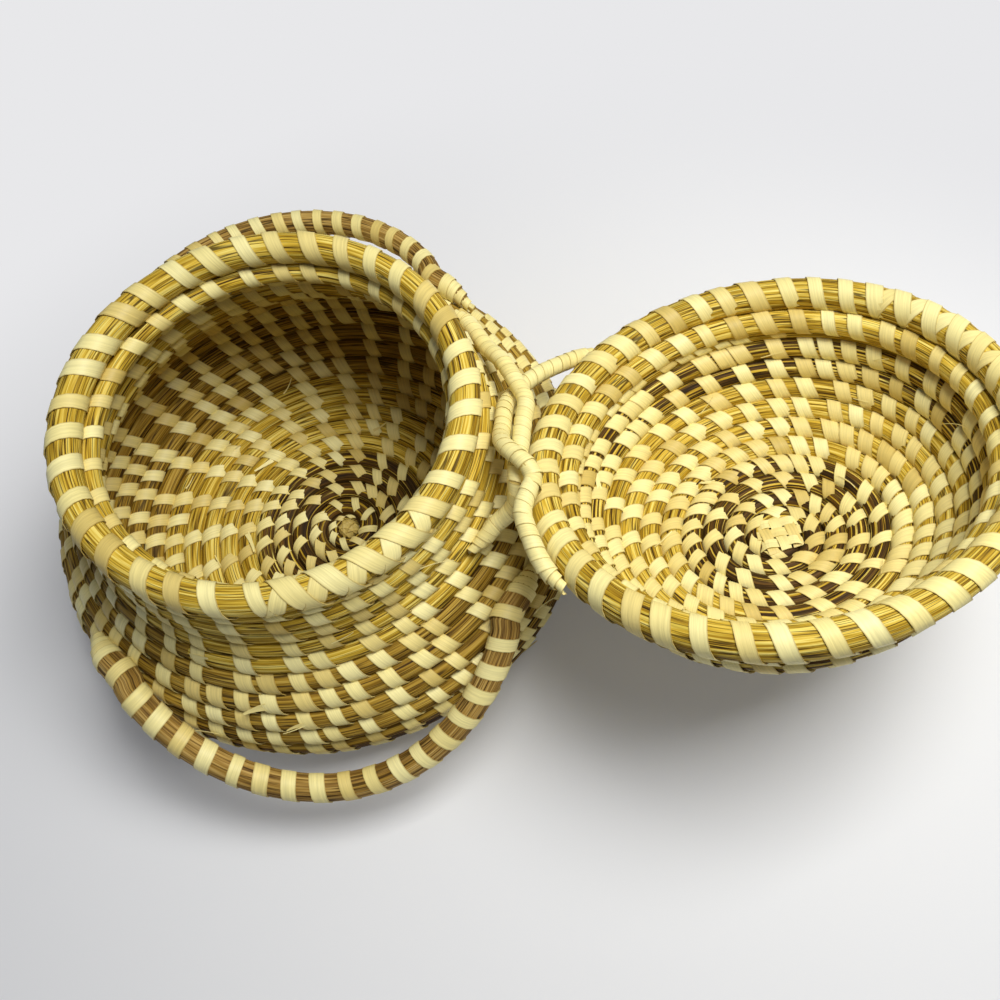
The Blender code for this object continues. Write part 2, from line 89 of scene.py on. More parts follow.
def linear(code: str) -> tuple[float, float, float, float]:
    """Turns an sRGB hex colour into the linear colour that a shader takes.

    Args:
        code: Six hex digits with a leading #.

    Returns:
        Red, green, blue and alpha.
    """
    parts = [int(code[index:index + 2], 16) / 255 for index in (1, 3, 5)]
    red, green, blue = [part / 12.92 if part <= 0.04045 else ((part + 0.055) / 1.055) ** 2.4 for part in parts]
    return red, green, blue, 1.0


def add(tree: bpy.types.NodeTree, kind: str, inputs: dict[Any, Any] | None = None, **settings: Any) -> bpy.types.Node:
    """Adds one node with its settings, values and links.

    Args:
        tree: The tree that gets the node.
        kind: The node's type name.
        inputs: Socket name or number to a value, or to the output that feeds it.
        settings: The node's own properties.

    Returns:
        The new node.
    """
    made = tree.nodes.new(kind)
    for name, value in settings.items():
        setattr(made, name, value)
    for key, value in (inputs or {}).items():
        if isinstance(value, bpy.types.NodeSocket):
            tree.links.new(value, made.inputs[key])
        else:
            made.inputs[key].default_value = value
    return made


def set_ramp(ramp: bpy.types.Node, stops: list[tuple[float, str]]) -> None:
    """Gives a colour ramp its stops.

    Args:
        ramp: The Color Ramp node.
        stops: Place and hex colour of each stop, in order.
    """
    elements = ramp.color_ramp.elements
    while len(elements) < len(stops):
        elements.new(0.5)
    for element, (place, code) in zip(elements, stops):
        element.position = place
        element.color = linear(code)


# ---------------------------------------------------------------- finishes


@dataclass(frozen=True)
class GrassFinish:
    """Dried sweetgrass, gathered by hand into a bundle: long fine stems, straw-gold, with painted shade in the gaps
    between them.
    """

    name: str
    # gap is painted shade: the colour of the shaded gaps and creases between stems
    gap: str = "#3D2A08"
    brown: str = "#9A781A"
    gold: str = "#D6B138"
    # pale is partly the palest stems' own colour, partly a painted highlight on their backs
    pale: str = "#F0DB76"
    tint: str = "#C9BC64"
    dyed: str = "#291A06"
    # dyed_pale_and_lit is partly the dyed stems' own paler tone, partly a painted highlight on their backs
    dyed_pale_and_lit: str = "#654512"
    stem: float = 0.95 * MM
    stem_run: float = 34 * MM
    roughness: float = 0.6
    shine: float = 0.2

    def make(self) -> bpy.types.Material:
        """Builds the material on the bundle's own stem coordinates: two across it and one along it."""
        made = bpy.data.materials.new(self.name)
        made.use_nodes = True
        tree = made.node_tree
        shader = tree.nodes["Principled BSDF"]
        shader.inputs["Specular IOR Level"].default_value = self.shine
        stem = add(tree, "ShaderNodeAttribute", attribute_name="stem").outputs["Vector"]

        def across(width: float, run: float, shift: float) -> bpy.types.NodeSocket:
            place = add(tree, "ShaderNodeMapping", {"Vector": stem, "Scale": (1 / width, 1 / width, 1 / run), "Location": (shift, shift, shift)})
            return place.outputs["Vector"]

        # Single stems in their own brown, gold and pale tones, with painted shade in the gaps between them and a
        # painted highlight on their backs
        lines = add(tree, "ShaderNodeTexNoise", {"Vector": across(self.stem, self.stem_run, 3.0), "Scale": 1.0, "Detail": 2.5, "Roughness": 0.62})
        tone = add(tree, "ShaderNodeValToRGB", {"Fac": lines.outputs["Fac"]})
        set_ramp(tone, [(0.30, self.gap), (0.37, self.brown), (0.50, self.gold), (0.64, self.pale)])
        # Handfuls of stems that dried greener or browner than the rest
        handful = add(tree, "ShaderNodeTexNoise", {"Vector": across(3.4 * MM, 70 * MM, 11.0), "Scale": 1.0, "Detail": 1.5})
        greener = add(tree, "ShaderNodeMapRange", {"Value": handful.outputs["Fac"], "From Min": 0.50, "From Max": 0.68, "To Max": 0.75})
        tinted = add(tree, "ShaderNodeMix", {"Factor": greener.outputs["Result"], 6: tone.outputs["Color"], 7: linear(self.tint)}, data_type="RGBA", blend_type="MULTIPLY")
        # Dyed stems laid in among the others, more of them in the dark bundles
        dyed_line = add(tree, "ShaderNodeTexNoise", {"Vector": across(0.9 * MM, 80 * MM, 23.0), "Scale": 1.0, "Detail": 1.5})
        dye = add(tree, "ShaderNodeAttribute", attribute_name="dye").outputs["Fac"]
        reached = add(tree, "ShaderNodeMath", {0: dye, 1: 0.38, 2: dyed_line.outputs["Fac"]}, operation="MULTIPLY_ADD")
        dyed = add(tree, "ShaderNodeMapRange", {"Value": reached.outputs[0], "From Min": 0.66, "From Max": 0.71})
        # The dyed stems: dark in the gaps, browner on their backs, partly their own tone and partly painted shade and
        # highlight
        lit = add(tree, "ShaderNodeMapRange", {"Value": lines.outputs["Fac"], "From Min": 0.40, "From Max": 0.62})
        deep = add(tree, "ShaderNodeMix", {"Factor": lit.outputs["Result"], 6: linear(self.dyed), 7: linear(self.dyed_pale_and_lit)}, data_type="RGBA")
        mixed = add(tree, "ShaderNodeMix", {"Factor": dyed.outputs["Result"], 6: tinted.outputs[2], 7: deep.outputs[2]}, data_type="RGBA")
        # Painted shade: thin dark lines in the creases where two stems meet
        crevice_shade_noise = add(tree, "ShaderNodeTexNoise", {"Vector": across(1.5 * MM, 55 * MM, 41.0), "Scale": 1.0, "Detail": 0.0})
        centred = add(tree, "ShaderNodeMath", {0: crevice_shade_noise.outputs["Fac"], 1: 0.5}, operation="SUBTRACT")
        crevice_shade_line = add(tree, "ShaderNodeMath", {0: centred.outputs[0]}, operation="ABSOLUTE")
        crevice_shade_share = add(tree, "ShaderNodeMapRange", {"Value": crevice_shade_line.outputs[0], "From Min": 0.010, "From Max": 0.045, "To Min": 0.85, "To Max": 0.0})
        colour = add(tree, "ShaderNodeMix", {"Factor": crevice_shade_share.outputs["Result"], 6: mixed.outputs[2], 7: linear(self.gap)}, data_type="RGBA")
        tree.links.new(colour.outputs[2], shader.inputs["Base Color"])
        rough = add(tree, "ShaderNodeMapRange", {"Value": lines.outputs["Fac"], "From Min": 0.3, "From Max": 0.7, "To Min": self.roughness + 0.16, "To Max": self.roughness - 0.06})
        tree.links.new(rough.outputs["Result"], shader.inputs["Roughness"])
        sunk = add(tree, "ShaderNodeMath", {0: crevice_shade_share.outputs["Result"], 1: -0.35, 2: lines.outputs["Fac"]}, operation="MULTIPLY_ADD")
        bump = add(tree, "ShaderNodeBump", {"Height": sunk.outputs[0], "Strength": 0.7, "Distance": 0.6 * MM})
        tree.links.new(bump.outputs["Normal"], shader.inputs["Normal"])
        return made


@dataclass(frozen=True)
class PalmettoFinish:
    """Split palmetto leaf, sewn damp and dried flat: cream, satin, with fine ribs along it."""

    name: str
    palest: str = "#F8ECA9"
    pale: str = "#F3E49A"
    warm: str = "#E8D283"
    dull: str = "#D2B866"
    # edge is painted shade: the thin shadow line along a strip's edge
    edge: str = "#A5852F"
    rib: float = 0.55 * MM
    roughness: float = 0.46
    shine: float = 0.36

    def make(self) -> bpy.types.Material:
        """Builds the material on the strip's own coordinates: across it, along it, and one tone for each stitch."""
        made = bpy.data.materials.new(self.name)
        made.use_nodes = True
        tree = made.node_tree
        shader = tree.nodes["Principled BSDF"]
        shader.inputs["Specular IOR Level"].default_value = self.shine
        strip = add(tree, "ShaderNodeAttribute", attribute_name="strip").outputs["Vector"]
        tone = add(tree, "ShaderNodeAttribute", attribute_name="tone").outputs["Fac"]
        own = add(tree, "ShaderNodeVectorMath", {0: strip, 1: (1 / self.rib, 1 / (16 * MM), 0.0)}, operation="MULTIPLY")
        to_edge = add(tree, "ShaderNodeMath", {0: add(tree, "ShaderNodeSeparateXYZ", {0: strip}).outputs[2]}, operation="ABSOLUTE")
        shift = add(tree, "ShaderNodeCombineXYZ", {"Z": add(tree, "ShaderNodeMath", {0: tone, 1: 91.0}, operation="MULTIPLY").outputs[0]})
        place = add(tree, "ShaderNodeVectorMath", {0: own.outputs[0], 1: shift.outputs[0]}, operation="ADD")
        # The leaf's ribs run along the strip, each a little lighter or darker
        ribs = add(tree, "ShaderNodeTexNoise", {"Vector": place.outputs[0], "Scale": 1.0, "Detail": 2.0, "Roughness": 0.55})
        # No two strips are the same: some cream, some straw, a few gone dull
        leaf = add(tree, "ShaderNodeValToRGB", {"Fac": tone})
        set_ramp(leaf, [(0.0, self.dull), (0.15, self.warm), (0.60, self.pale), (1.0, self.palest)])
        darker = add(tree, "ShaderNodeMapRange", {"Value": ribs.outputs["Fac"], "From Min": 0.32, "From Max": 0.68, "To Min": 0.86, "To Max": 1.04})
        ribbed = add(tree, "ShaderNodeMix", {"Factor": 1.0, 6: leaf.outputs["Color"], 7: darker.outputs["Result"]}, data_type="RGBA", blend_type="MULTIPLY")
        # Painted shade: browner towards both edges of each strip, for the thin shadow line along a strip's edge
        edge = add(tree, "ShaderNodeMapRange", {"Value": to_edge.outputs[0], "From Min": 0.84, "From Max": 1.0, "To Max": 0.6})
        edged = add(tree, "ShaderNodeMix", {"Factor": edge.outputs["Result"], 6: ribbed.outputs[2], 7: linear(self.edge)}, data_type="RGBA")
        tree.links.new(edged.outputs[2], shader.inputs["Base Color"])
        rough = add(tree, "ShaderNodeMapRange", {"Value": ribs.outputs["Fac"], "To Min": self.roughness - 0.06, "To Max": self.roughness + 0.14})
        tree.links.new(rough.outputs["Result"], shader.inputs["Roughness"])
        bump = add(tree, "ShaderNodeBump", {"Height": ribs.outputs["Fac"], "Strength": 0.45, "Distance": 0.25 * MM})
        tree.links.new(bump.outputs["Normal"], shader.inputs["Normal"])
        return made


@dataclass(frozen=True)
class FloorFinish:
    """Matt painted studio board: pale grey, no gloss, so that only the soft shadow shows on it."""

    name: str = "matt_studio_board"
    colour: str = "#E8E8EA"
    evenness: float = 0.10
    lit: tuple[float, float, float] = (0.12, -0.14, 0.0)
    near: float = 0.27
    far: float = 0.44

    def make(self) -> bpy.types.Material:
        """Builds the board's flat matt material."""
        made = bpy.data.materials.new(self.name)
        made.use_nodes = True
        tree = made.node_tree
        shader = tree.nodes["Principled BSDF"]
        shader.inputs["Base Color"].default_value = linear(self.colour)
        shader.inputs["Roughness"].default_value = 0.9
        shader.inputs["Specular IOR Level"].default_value = 0.1
        # To the camera the board keeps part of its own even grey, and all of it far off, where it sweeps up into the backdrop
        path = add(tree, "ShaderNodeLightPath")
        even = add(tree, "ShaderNodeEmission", {"Color": linear(self.colour), "Strength": 1.0})
        place = add(tree, "ShaderNodeTexCoord").outputs["Object"]
        away = add(tree, "ShaderNodeVectorMath", {0: place, 1: self.lit}, operation="DISTANCE")
        evened = add(tree, "ShaderNodeMapRange", {"Value": away.outputs["Value"], "From Min": self.near, "From Max": self.far, "To Min": self.evenness}, interpolation_type="SMOOTHSTEP")
        share = add(tree, "ShaderNodeMath", {0: path.outputs["Is Camera Ray"], 1: evened.outputs["Result"]}, operation="MULTIPLY")
        seen = add(tree, "ShaderNodeMixShader", {0: share.outputs[0], 1: shader.outputs[0], 2: even.outputs[0]})
        tree.links.new(seen.outputs[0], tree.nodes["Material Output"].inputs["Surface"])
        return made


# ---------------------------------------------------------------- Geometry Nodes trees


def new_tree(name: str, inputs: list[tuple[str, str]]) -> tuple[bpy.types.NodeTree, bpy.types.Node]:
    """Starts a Geometry Nodes tree.

    Args:
        name: The tree's name.
        inputs: Name and socket type of each input.

    Returns:
        The tree and its input node.
    """
    tree = bpy.data.node_groups.new(name, "GeometryNodeTree")
    tree.interface.new_socket("Geometry", in_out="OUTPUT", socket_type="NodeSocketGeometry")
    for label, kind in inputs:
        tree.interface.new_socket(label, in_out="INPUT", socket_type=kind)
    return tree, tree.nodes.new("NodeGroupInput")


def stem_bundle_tree() -> bpy.types.NodeTree:
    """A bundle of stems along a line: a fluted tube whose relief runs along it, with stem coordinates.

    Returns:
        The Geometry Nodes tree.
    """
    number = "NodeSocketFloat"
    tree, given = new_tree(
        "stem_bundle",
        [
            ("Geometry", "NodeSocketGeometry"), ("Bundle radius", number), ("Stems round", "NodeSocketInt"),
            ("Relief", number), ("Stem width", number), ("Stem run", number), ("Shift", number),
            ("Material", "NodeSocketMaterial"),
        ],
    )
    get = given.outputs
    line = add(tree, "GeometryNodeMeshToCurve", {"Mesh": get["Geometry"]})
    girth = add(tree, "GeometryNodeInputNamedAttribute", {"Name": "girth"}, data_type="FLOAT")
    sized = add(tree, "GeometryNodeSetCurveRadius", {"Curve": line.outputs[0], "Radius": girth.outputs[0]})
    length = add(tree, "GeometryNodeSplineParameter")
    run = add(tree, "GeometryNodeStoreNamedAttribute", {"Geometry": sized.outputs[0], "Name": "run", "Value": length.outputs["Length"]}, data_type="FLOAT", domain="POINT")
    circle = add(tree, "GeometryNodeCurvePrimitiveCircle", {"Resolution": get["Stems round"], "Radius": get["Bundle radius"]}, mode="RADIUS")
    here = add(tree, "GeometryNodeInputPosition")
    ring = add(tree, "GeometryNodeStoreNamedAttribute", {"Geometry": circle.outputs[0], "Name": "ring", "Value": here.outputs[0]}, data_type="FLOAT_VECTOR", domain="POINT")
    tube = add(tree, "GeometryNodeCurveToMesh", {"Curve": run.outputs[0], "Profile Curve": ring.outputs[0], "Fill Caps": True})
    if "Scale" in tube.inputs:
        tree.links.new(girth.outputs[0], tube.inputs["Scale"])
    at_ring = add(tree, "ShaderNodeSeparateXYZ", {0: add(tree, "GeometryNodeInputNamedAttribute", {"Name": "ring"}, data_type="FLOAT_VECTOR").outputs[0]})
    at_run = add(tree, "GeometryNodeInputNamedAttribute", {"Name": "run"}, data_type="FLOAT")
    shifted = add(tree, "ShaderNodeMath", {0: at_run.outputs[0], 1: get["Shift"]}, operation="ADD")
    stem = add(tree, "ShaderNodeCombineXYZ", {"X": at_ring.outputs[0], "Y": at_ring.outputs[1], "Z": shifted.outputs[0]})
    marked = add(tree, "GeometryNodeStoreNamedAttribute", {"Geometry": tube.outputs[0], "Name": "stem", "Value": stem.outputs[0]}, data_type="FLOAT_VECTOR", domain="POINT")
    scale = add(tree, "ShaderNodeCombineXYZ", {"X": get["Stem width"], "Y": get["Stem width"], "Z": get["Stem run"]})
    coarse = add(tree, "ShaderNodeVectorMath", {0: stem.outputs[0], 1: scale.outputs[0]}, operation="DIVIDE")
    flutes = add(tree, "ShaderNodeTexNoise", {"Vector": coarse.outputs[0], "Scale": 1.0, "Detail": 1.0})
    centred = add(tree, "ShaderNodeMath", {0: flutes.outputs[0], 1: 0.5}, operation="SUBTRACT")
    lift = add(tree, "ShaderNodeMath", {0: centred.outputs[0], 1: get["Relief"]}, operation="MULTIPLY")
    normal = add(tree, "GeometryNodeInputNormal")
    offset = add(tree, "ShaderNodeVectorMath", {0: normal.outputs[0], "Scale": lift.outputs[0]}, operation="SCALE")
    fluted = add(tree, "GeometryNodeSetPosition", {"Geometry": marked.outputs[0], "Offset": offset.outputs[0]})
    smooth = add(tree, "GeometryNodeSetShadeSmooth", {0: fluted.outputs[0], "Shade Smooth": True})
    real = add(tree, "GeometryNodeRealizeInstances", {0: smooth.outputs[0]})
    dressed = add(tree, "GeometryNodeSetMaterial", {"Geometry": real.outputs[0], "Material": get["Material"]})
    add(tree, "NodeGroupOutput", {0: dressed.outputs[0]})
    return tree


def sewing_tree() -> bpy.types.NodeTree:
    """Strips bent round a bundle, one at each point: leaning, flat across, no two alike.

    Returns:
        The Geometry Nodes tree.
    """
    number = "NodeSocketFloat"
    tree, given = new_tree(
        "sewn_strips",
        [
            ("Geometry", "NodeSocketGeometry"), ("Reach", number), ("Strip width", number),
            ("Strip thickness", number), ("Lean", number), ("Start angle", number), ("End angle", number),
            ("Steps", "NodeSocketInt"), ("Width spread", number), ("Turn spread", number), ("Tilt", number),
            ("Dullest", number), ("Palest", number), ("Seed", "NodeSocketInt"), ("Material", "NodeSocketMaterial"),
        ],
    )
    get = given.outputs
    blank = add(tree, "GeometryNodeMeshCylinder", {"Vertices": 4, "Side Segments": get["Steps"], "Radius": 1.0, "Depth": 1.0}, fill_type="NGON")
    ends = add(tree, "GeometryNodeInputMeshEdgeVertices")
    reached = add(tree, "ShaderNodeVectorMath", {0: ends.outputs["Position 1"], 1: ends.outputs["Position 2"]}, operation="SUBTRACT")
    climbs = add(tree, "ShaderNodeMath", {0: add(tree, "ShaderNodeSeparateXYZ", {0: reached.outputs[0]}).outputs[2]}, operation="ABSOLUTE")
    crisp = add(tree, "ShaderNodeMath", {0: climbs.outputs[0], 1: 1e-4}, operation="GREATER_THAN")
    edged = add(tree, "GeometryNodeSetShadeSmooth", {0: blank.outputs["Mesh"], "Selection": crisp.outputs[0], "Shade Smooth": False}, domain="EDGE")
    at = add(tree, "ShaderNodeSeparateXYZ", {0: add(tree, "GeometryNodeInputPosition").outputs[0]})
    angle = add(tree, "ShaderNodeMapRange", {"Value": at.outputs[2], "From Min": -0.5, "From Max": 0.5, "To Min": get["Start angle"], "To Max": get["End angle"]})
    half_width = add(tree, "ShaderNodeMath", {0: get["Strip width"], 1: 0.5}, operation="MULTIPLY")
    across = add(tree, "ShaderNodeMath", {0: at.outputs[0], 1: at.outputs[1]}, operation="SUBTRACT")
    through_it = add(tree, "ShaderNodeMath", {0: at.outputs[0], 1: at.outputs[1]}, operation="ADD")
    aside = add(tree, "ShaderNodeMath", {0: across.outputs[0], 1: half_width.outputs[0]}, operation="MULTIPLY")
    half_thick = add(tree, "ShaderNodeMath", {0: get["Strip thickness"], 1: 0.5}, operation="MULTIPLY")
    tilted = add(tree, "ShaderNodeMath", {0: across.outputs[0], 1: get["Tilt"], 2: get["Reach"]}, operation="MULTIPLY_ADD")
    radial = add(tree, "ShaderNodeMath", {0: through_it.outputs[0], 1: half_thick.outputs[0], 2: tilted.outputs[0]}, operation="MULTIPLY_ADD")
    from_top = add(tree, "ShaderNodeMath", {0: angle.outputs[0], 1: math.pi / 2}, operation="SUBTRACT")
    share = add(tree, "ShaderNodeMath", {0: from_top.outputs[0], 1: math.pi}, operation="DIVIDE")
    along = add(tree, "ShaderNodeMath", {0: share.outputs[0], 1: get["Lean"], 2: aside.outputs[0]}, operation="MULTIPLY_ADD")
    up = add(tree, "ShaderNodeMath", {0: add(tree, "ShaderNodeMath", {0: angle.outputs[0]}, operation="SINE").outputs[0], 1: radial.outputs[0]}, operation="MULTIPLY")
    out = add(tree, "ShaderNodeMath", {0: add(tree, "ShaderNodeMath", {0: angle.outputs[0]}, operation="COSINE").outputs[0], 1: radial.outputs[0]}, operation="MULTIPLY")
    place = add(tree, "ShaderNodeCombineXYZ", {"X": along.outputs[0], "Y": up.outputs[0], "Z": out.outputs[0]})
    arc = add(tree, "ShaderNodeMath", {0: angle.outputs[0], 1: get["Reach"]}, operation="MULTIPLY")
    strip = add(tree, "ShaderNodeCombineXYZ", {"X": aside.outputs[0], "Y": arc.outputs[0], "Z": across.outputs[0]})
    marked = add(tree, "GeometryNodeStoreNamedAttribute", {"Geometry": edged.outputs[0], "Name": "strip", "Value": strip.outputs[0]}, data_type="FLOAT_VECTOR", domain="POINT")
    bent = add(tree, "GeometryNodeSetPosition", {"Geometry": marked.outputs[0], "Position": place.outputs[0]})
    smooth = add(tree, "GeometryNodeSetShadeSmooth", {0: bent.outputs[0], "Shade Smooth": True}, domain="FACE")
    turned = add(tree, "FunctionNodeEulerToRotation", {0: add(tree, "GeometryNodeInputNamedAttribute", {"Name": "turned"}, data_type="FLOAT_VECTOR").outputs[0]})
    least = add(tree, "ShaderNodeMath", {0: 1.0, 1: get["Width spread"]}, operation="SUBTRACT")
    most = add(tree, "ShaderNodeMath", {0: 1.0, 1: get["Width spread"]}, operation="ADD")
    width = add(tree, "FunctionNodeRandomValue", {2: least.outputs[0], 3: most.outputs[0], "Seed": get["Seed"]}, data_type="FLOAT")
    girth = add(tree, "GeometryNodeInputNamedAttribute", {"Name": "girth"}, data_type="FLOAT")
    size = add(tree, "ShaderNodeCombineXYZ", {"X": width.outputs[1], "Y": girth.outputs[0], "Z": girth.outputs[0]})
    placed = add(tree, "GeometryNodeInstanceOnPoints", {"Points": get["Geometry"], "Instance": smooth.outputs[0], "Rotation": turned.outputs[0], "Scale": size.outputs[0]})
    least_turn = add(tree, "ShaderNodeMath", {0: get["Turn spread"], 1: -1.0}, operation="MULTIPLY")
    other_seed = add(tree, "ShaderNodeMath", {0: get["Seed"], 1: 1.0}, operation="ADD")
    twist = add(tree, "FunctionNodeRandomValue", {2: least_turn.outputs[0], 3: get["Turn spread"], "Seed": other_seed.outputs[0]}, data_type="FLOAT")
    twisted = add(tree, "GeometryNodeRotateInstances", {"Instances": placed.outputs[0], "Rotation": add(tree, "ShaderNodeCombineXYZ", {"Z": twist.outputs[1]}).outputs[0], "Local Space": True})
    tone_seed = add(tree, "ShaderNodeMath", {0: get["Seed"], 1: 2.0}, operation="ADD")
    tone = add(tree, "FunctionNodeRandomValue", {2: get["Dullest"], 3: get["Palest"], "Seed": tone_seed.outputs[0]}, data_type="FLOAT")
    toned = add(tree, "GeometryNodeStoreNamedAttribute", {"Geometry": twisted.outputs[0], "Name": "tone", "Value": tone.outputs[1]}, data_type="FLOAT", domain="INSTANCE")
    real = add(tree, "GeometryNodeRealizeInstances", {0: toned.outputs[0]})
    dressed = add(tree, "GeometryNodeSetMaterial", {"Geometry": real.outputs[0], "Material": get["Material"]})
    add(tree, "NodeGroupOutput", {0: dressed.outputs[0]})
    return tree


def grown(name: str, seed_mesh: bpy.types.Mesh, tree: bpy.types.NodeTree, values: dict[str, Any]) -> bpy.types.Object:
    """Runs a tree on a mesh of points or lines and keeps the result as a plain mesh.

    Args:
        name: The piece's name.
        seed_mesh: What the tree grows from.
        tree: The Geometry Nodes tree.
        values: The tree's inputs by their names.

    Returns:
        The finished piece, at the origin.
    """
    seed = bpy.data.objects.new(f"{name}_seed", seed_mesh)
    bpy.context.scene.collection.objects.link(seed)
    grow = seed.modifiers.new("grow", "NODES")
    grow.node_group = tree
    for item in tree.interface.items_tree:
        if item.item_type == "SOCKET" and item.in_out == "INPUT" and item.name in values:
            grow[item.identifier] = values[item.name]
    graph = bpy.context.evaluated_depsgraph_get()
    mesh = bpy.data.meshes.new_from_object(seed.evaluated_get(graph), depsgraph=graph)
    bpy.data.objects.remove(seed, do_unlink=True)
    mesh.name = name
    made = bpy.data.objects.new(name, mesh)
    bpy.context.scene.collection.objects.link(made)
    return made


# ---------------------------------------------------------------- lines


def unit(rows: np.ndarray) -> np.ndarray:
    """Each row divided by its length."""
    return rows / np.linalg.norm(rows, axis=-1, keepdims=True)


def through(points: np.ndarray, steps: int = 24) -> np.ndarray:
    """A finely stepped smooth curve through a few points.

    Args:
        points: The points, one a row.
        steps: Steps between two of them.

    Returns:
        The curve's points.
    """
    padded = np.vstack([2 * points[0] - points[1], points, 2 * points[-1] - points[-2]])
    t = (np.arange(steps) / steps)[:, None]
    fine = []
    for index in range(1, len(padded) - 2):
        a, b, c, d = padded[index - 1:index + 3]
        fine.append(0.5 * (2 * b + (c - a) * t + (2 * a - 5 * b + 4 * c - d) * t**2 + (3 * b - a - 3 * c + d) * t**3))
    return np.vstack([*fine, points[-1:]])


def evenly(points: np.ndarray, spacing: float = 0.0, steps: int = 0) -> np.ndarray:
    """Points at equal spacing along a finely stepped line.

    Args:
        points: The line.
        spacing: The distance wanted between two points, where steps isn't given.
        steps: How many stretches to divide the line into.

    Returns:
        The new points, both ends included.
    """
    walked = np.concatenate([[0.0], np.cumsum(np.linalg.norm(np.diff(points, axis=0), axis=1))])
    count = steps or max(2, round(walked[-1] / spacing))
    goals = np.linspace(0.0, walked[-1], count + 1)
    return np.stack([np.interp(goals, walked, points[:, axis]) for axis in range(points.shape[1])], axis=1)


class Profile:
    """A line in the plane of radius and height, walked by its length."""

    def __init__(self, points: np.ndarray) -> None:
        """Keeps the line's points and how far along it each is."""
        steps = np.linalg.norm(np.diff(points, axis=0), axis=1)
        keep = np.concatenate([[True], steps > 0.0])
        self.points = points[keep]
        self.lengths = np.concatenate([[0.0], np.cumsum(steps[steps > 0.0])])
        self.length = float(self.lengths[-1])

    def at(self, distance: np.ndarray | float) -> np.ndarray:
        """The points at these lengths, past either end on the last stretch's line."""
        goal = np.atleast_1d(np.asarray(distance, float))
        index = np.clip(np.searchsorted(self.lengths, goal), 1, len(self.lengths) - 1)
        low, high = self.lengths[index - 1], self.lengths[index]
        share = ((goal - low) / (high - low))[:, None]
        return self.points[index - 1] * (1 - share) + self.points[index] * share

    def heading(self, distance: np.ndarray | float) -> np.ndarray:
        """The directions in which the line runs at these lengths."""
        goal = np.atleast_1d(np.asarray(distance, float))
        return unit(self.at(goal + 0.8 * MM) - self.at(goal - 0.8 * MM))

    def length_at(self, height: float) -> float:
        """The length at which the rising line reaches this height."""
        rising = np.flatnonzero((self.points[:-1, 1] < height) & (height <= self.points[1:, 1]))[0]
        low, high = self.points[rising, 1], self.points[rising + 1, 1]
        share = (height - low) / (high - low)
        return float(self.lengths[rising] + share * (self.lengths[rising + 1] - self.lengths[rising]))


@dataclass
class Route:
    """A line in space with, at each point, the direction away from the row that it is sewn to."""

    points: np.ndarray
    away: np.ndarray
    girth: np.ndarray | None = None
    dye: np.ndarray | None = None

    def __post_init__(self) -> None:
        """Works out the lengths and the frames."""
        steps = np.linalg.norm(np.diff(self.points, axis=0), axis=1)
        self.run = np.concatenate([[0.0], np.cumsum(steps)])
        self.length = float(self.run[-1])
        self.along = unit(np.gradient(self.points, axis=0))
        away = self.away - np.sum(self.away * self.along, axis=1, keepdims=True) * self.along
        self.away = unit(away)
        self.outward = np.cross(self.along, self.away)
        if self.girth is None:
            self.girth = np.ones(len(self.points))
        if self.dye is None:
            self.dye = np.zeros(len(self.points))

    def dyed(self, shares: tuple[float, ...]) -> "Route":
        """The same line with shares of dyed stems, spread evenly from its start to its end."""
        places = np.linspace(0.0, self.length, len(shares))
        return Route(self.points, self.away, self.girth, np.interp(self.run, places, shares))

    def frames(self, places: np.ndarray) -> tuple[np.ndarray, list[Matrix]]:
        """Points and turned frames at these lengths.

        Args:
            places: Lengths along the line.

        Returns:
            The points, and for each a matrix of the directions along, away and outward.
        """
        def mixed(rows: np.ndarray) -> np.ndarray:
            return np.stack([np.interp(places, self.run, rows[:, axis]) for axis in range(3)], axis=1)

        points, along, away = mixed(self.points), unit(mixed(self.along)), mixed(self.away)
        away = unit(away - np.sum(away * along, axis=1, keepdims=True) * along)
        outward = np.cross(along, away)
        turned = [Matrix(np.stack([x, y, z], axis=1).tolist()) for x, y, z in zip(along, away, outward)]
        return points, turned

    def moved(self, change: Matrix) -> "Route":
        """The same line after a rigid move."""
        turn = np.array(change.to_3x3())
        shift = np.array(change.to_translation())
        return Route(self.points @ turn.T + shift, self.away @ turn.T, self.girth, self.dye)


def polar(radius: np.ndarray, azimuth: np.ndarray, height: np.ndarray) -> np.ndarray:
    """Points from their distances to the basket's axis, their azimuths and their heights."""
    return np.stack([radius * np.cos(azimuth), radius * np.sin(azimuth), height + 0 * azimuth], axis=-1)


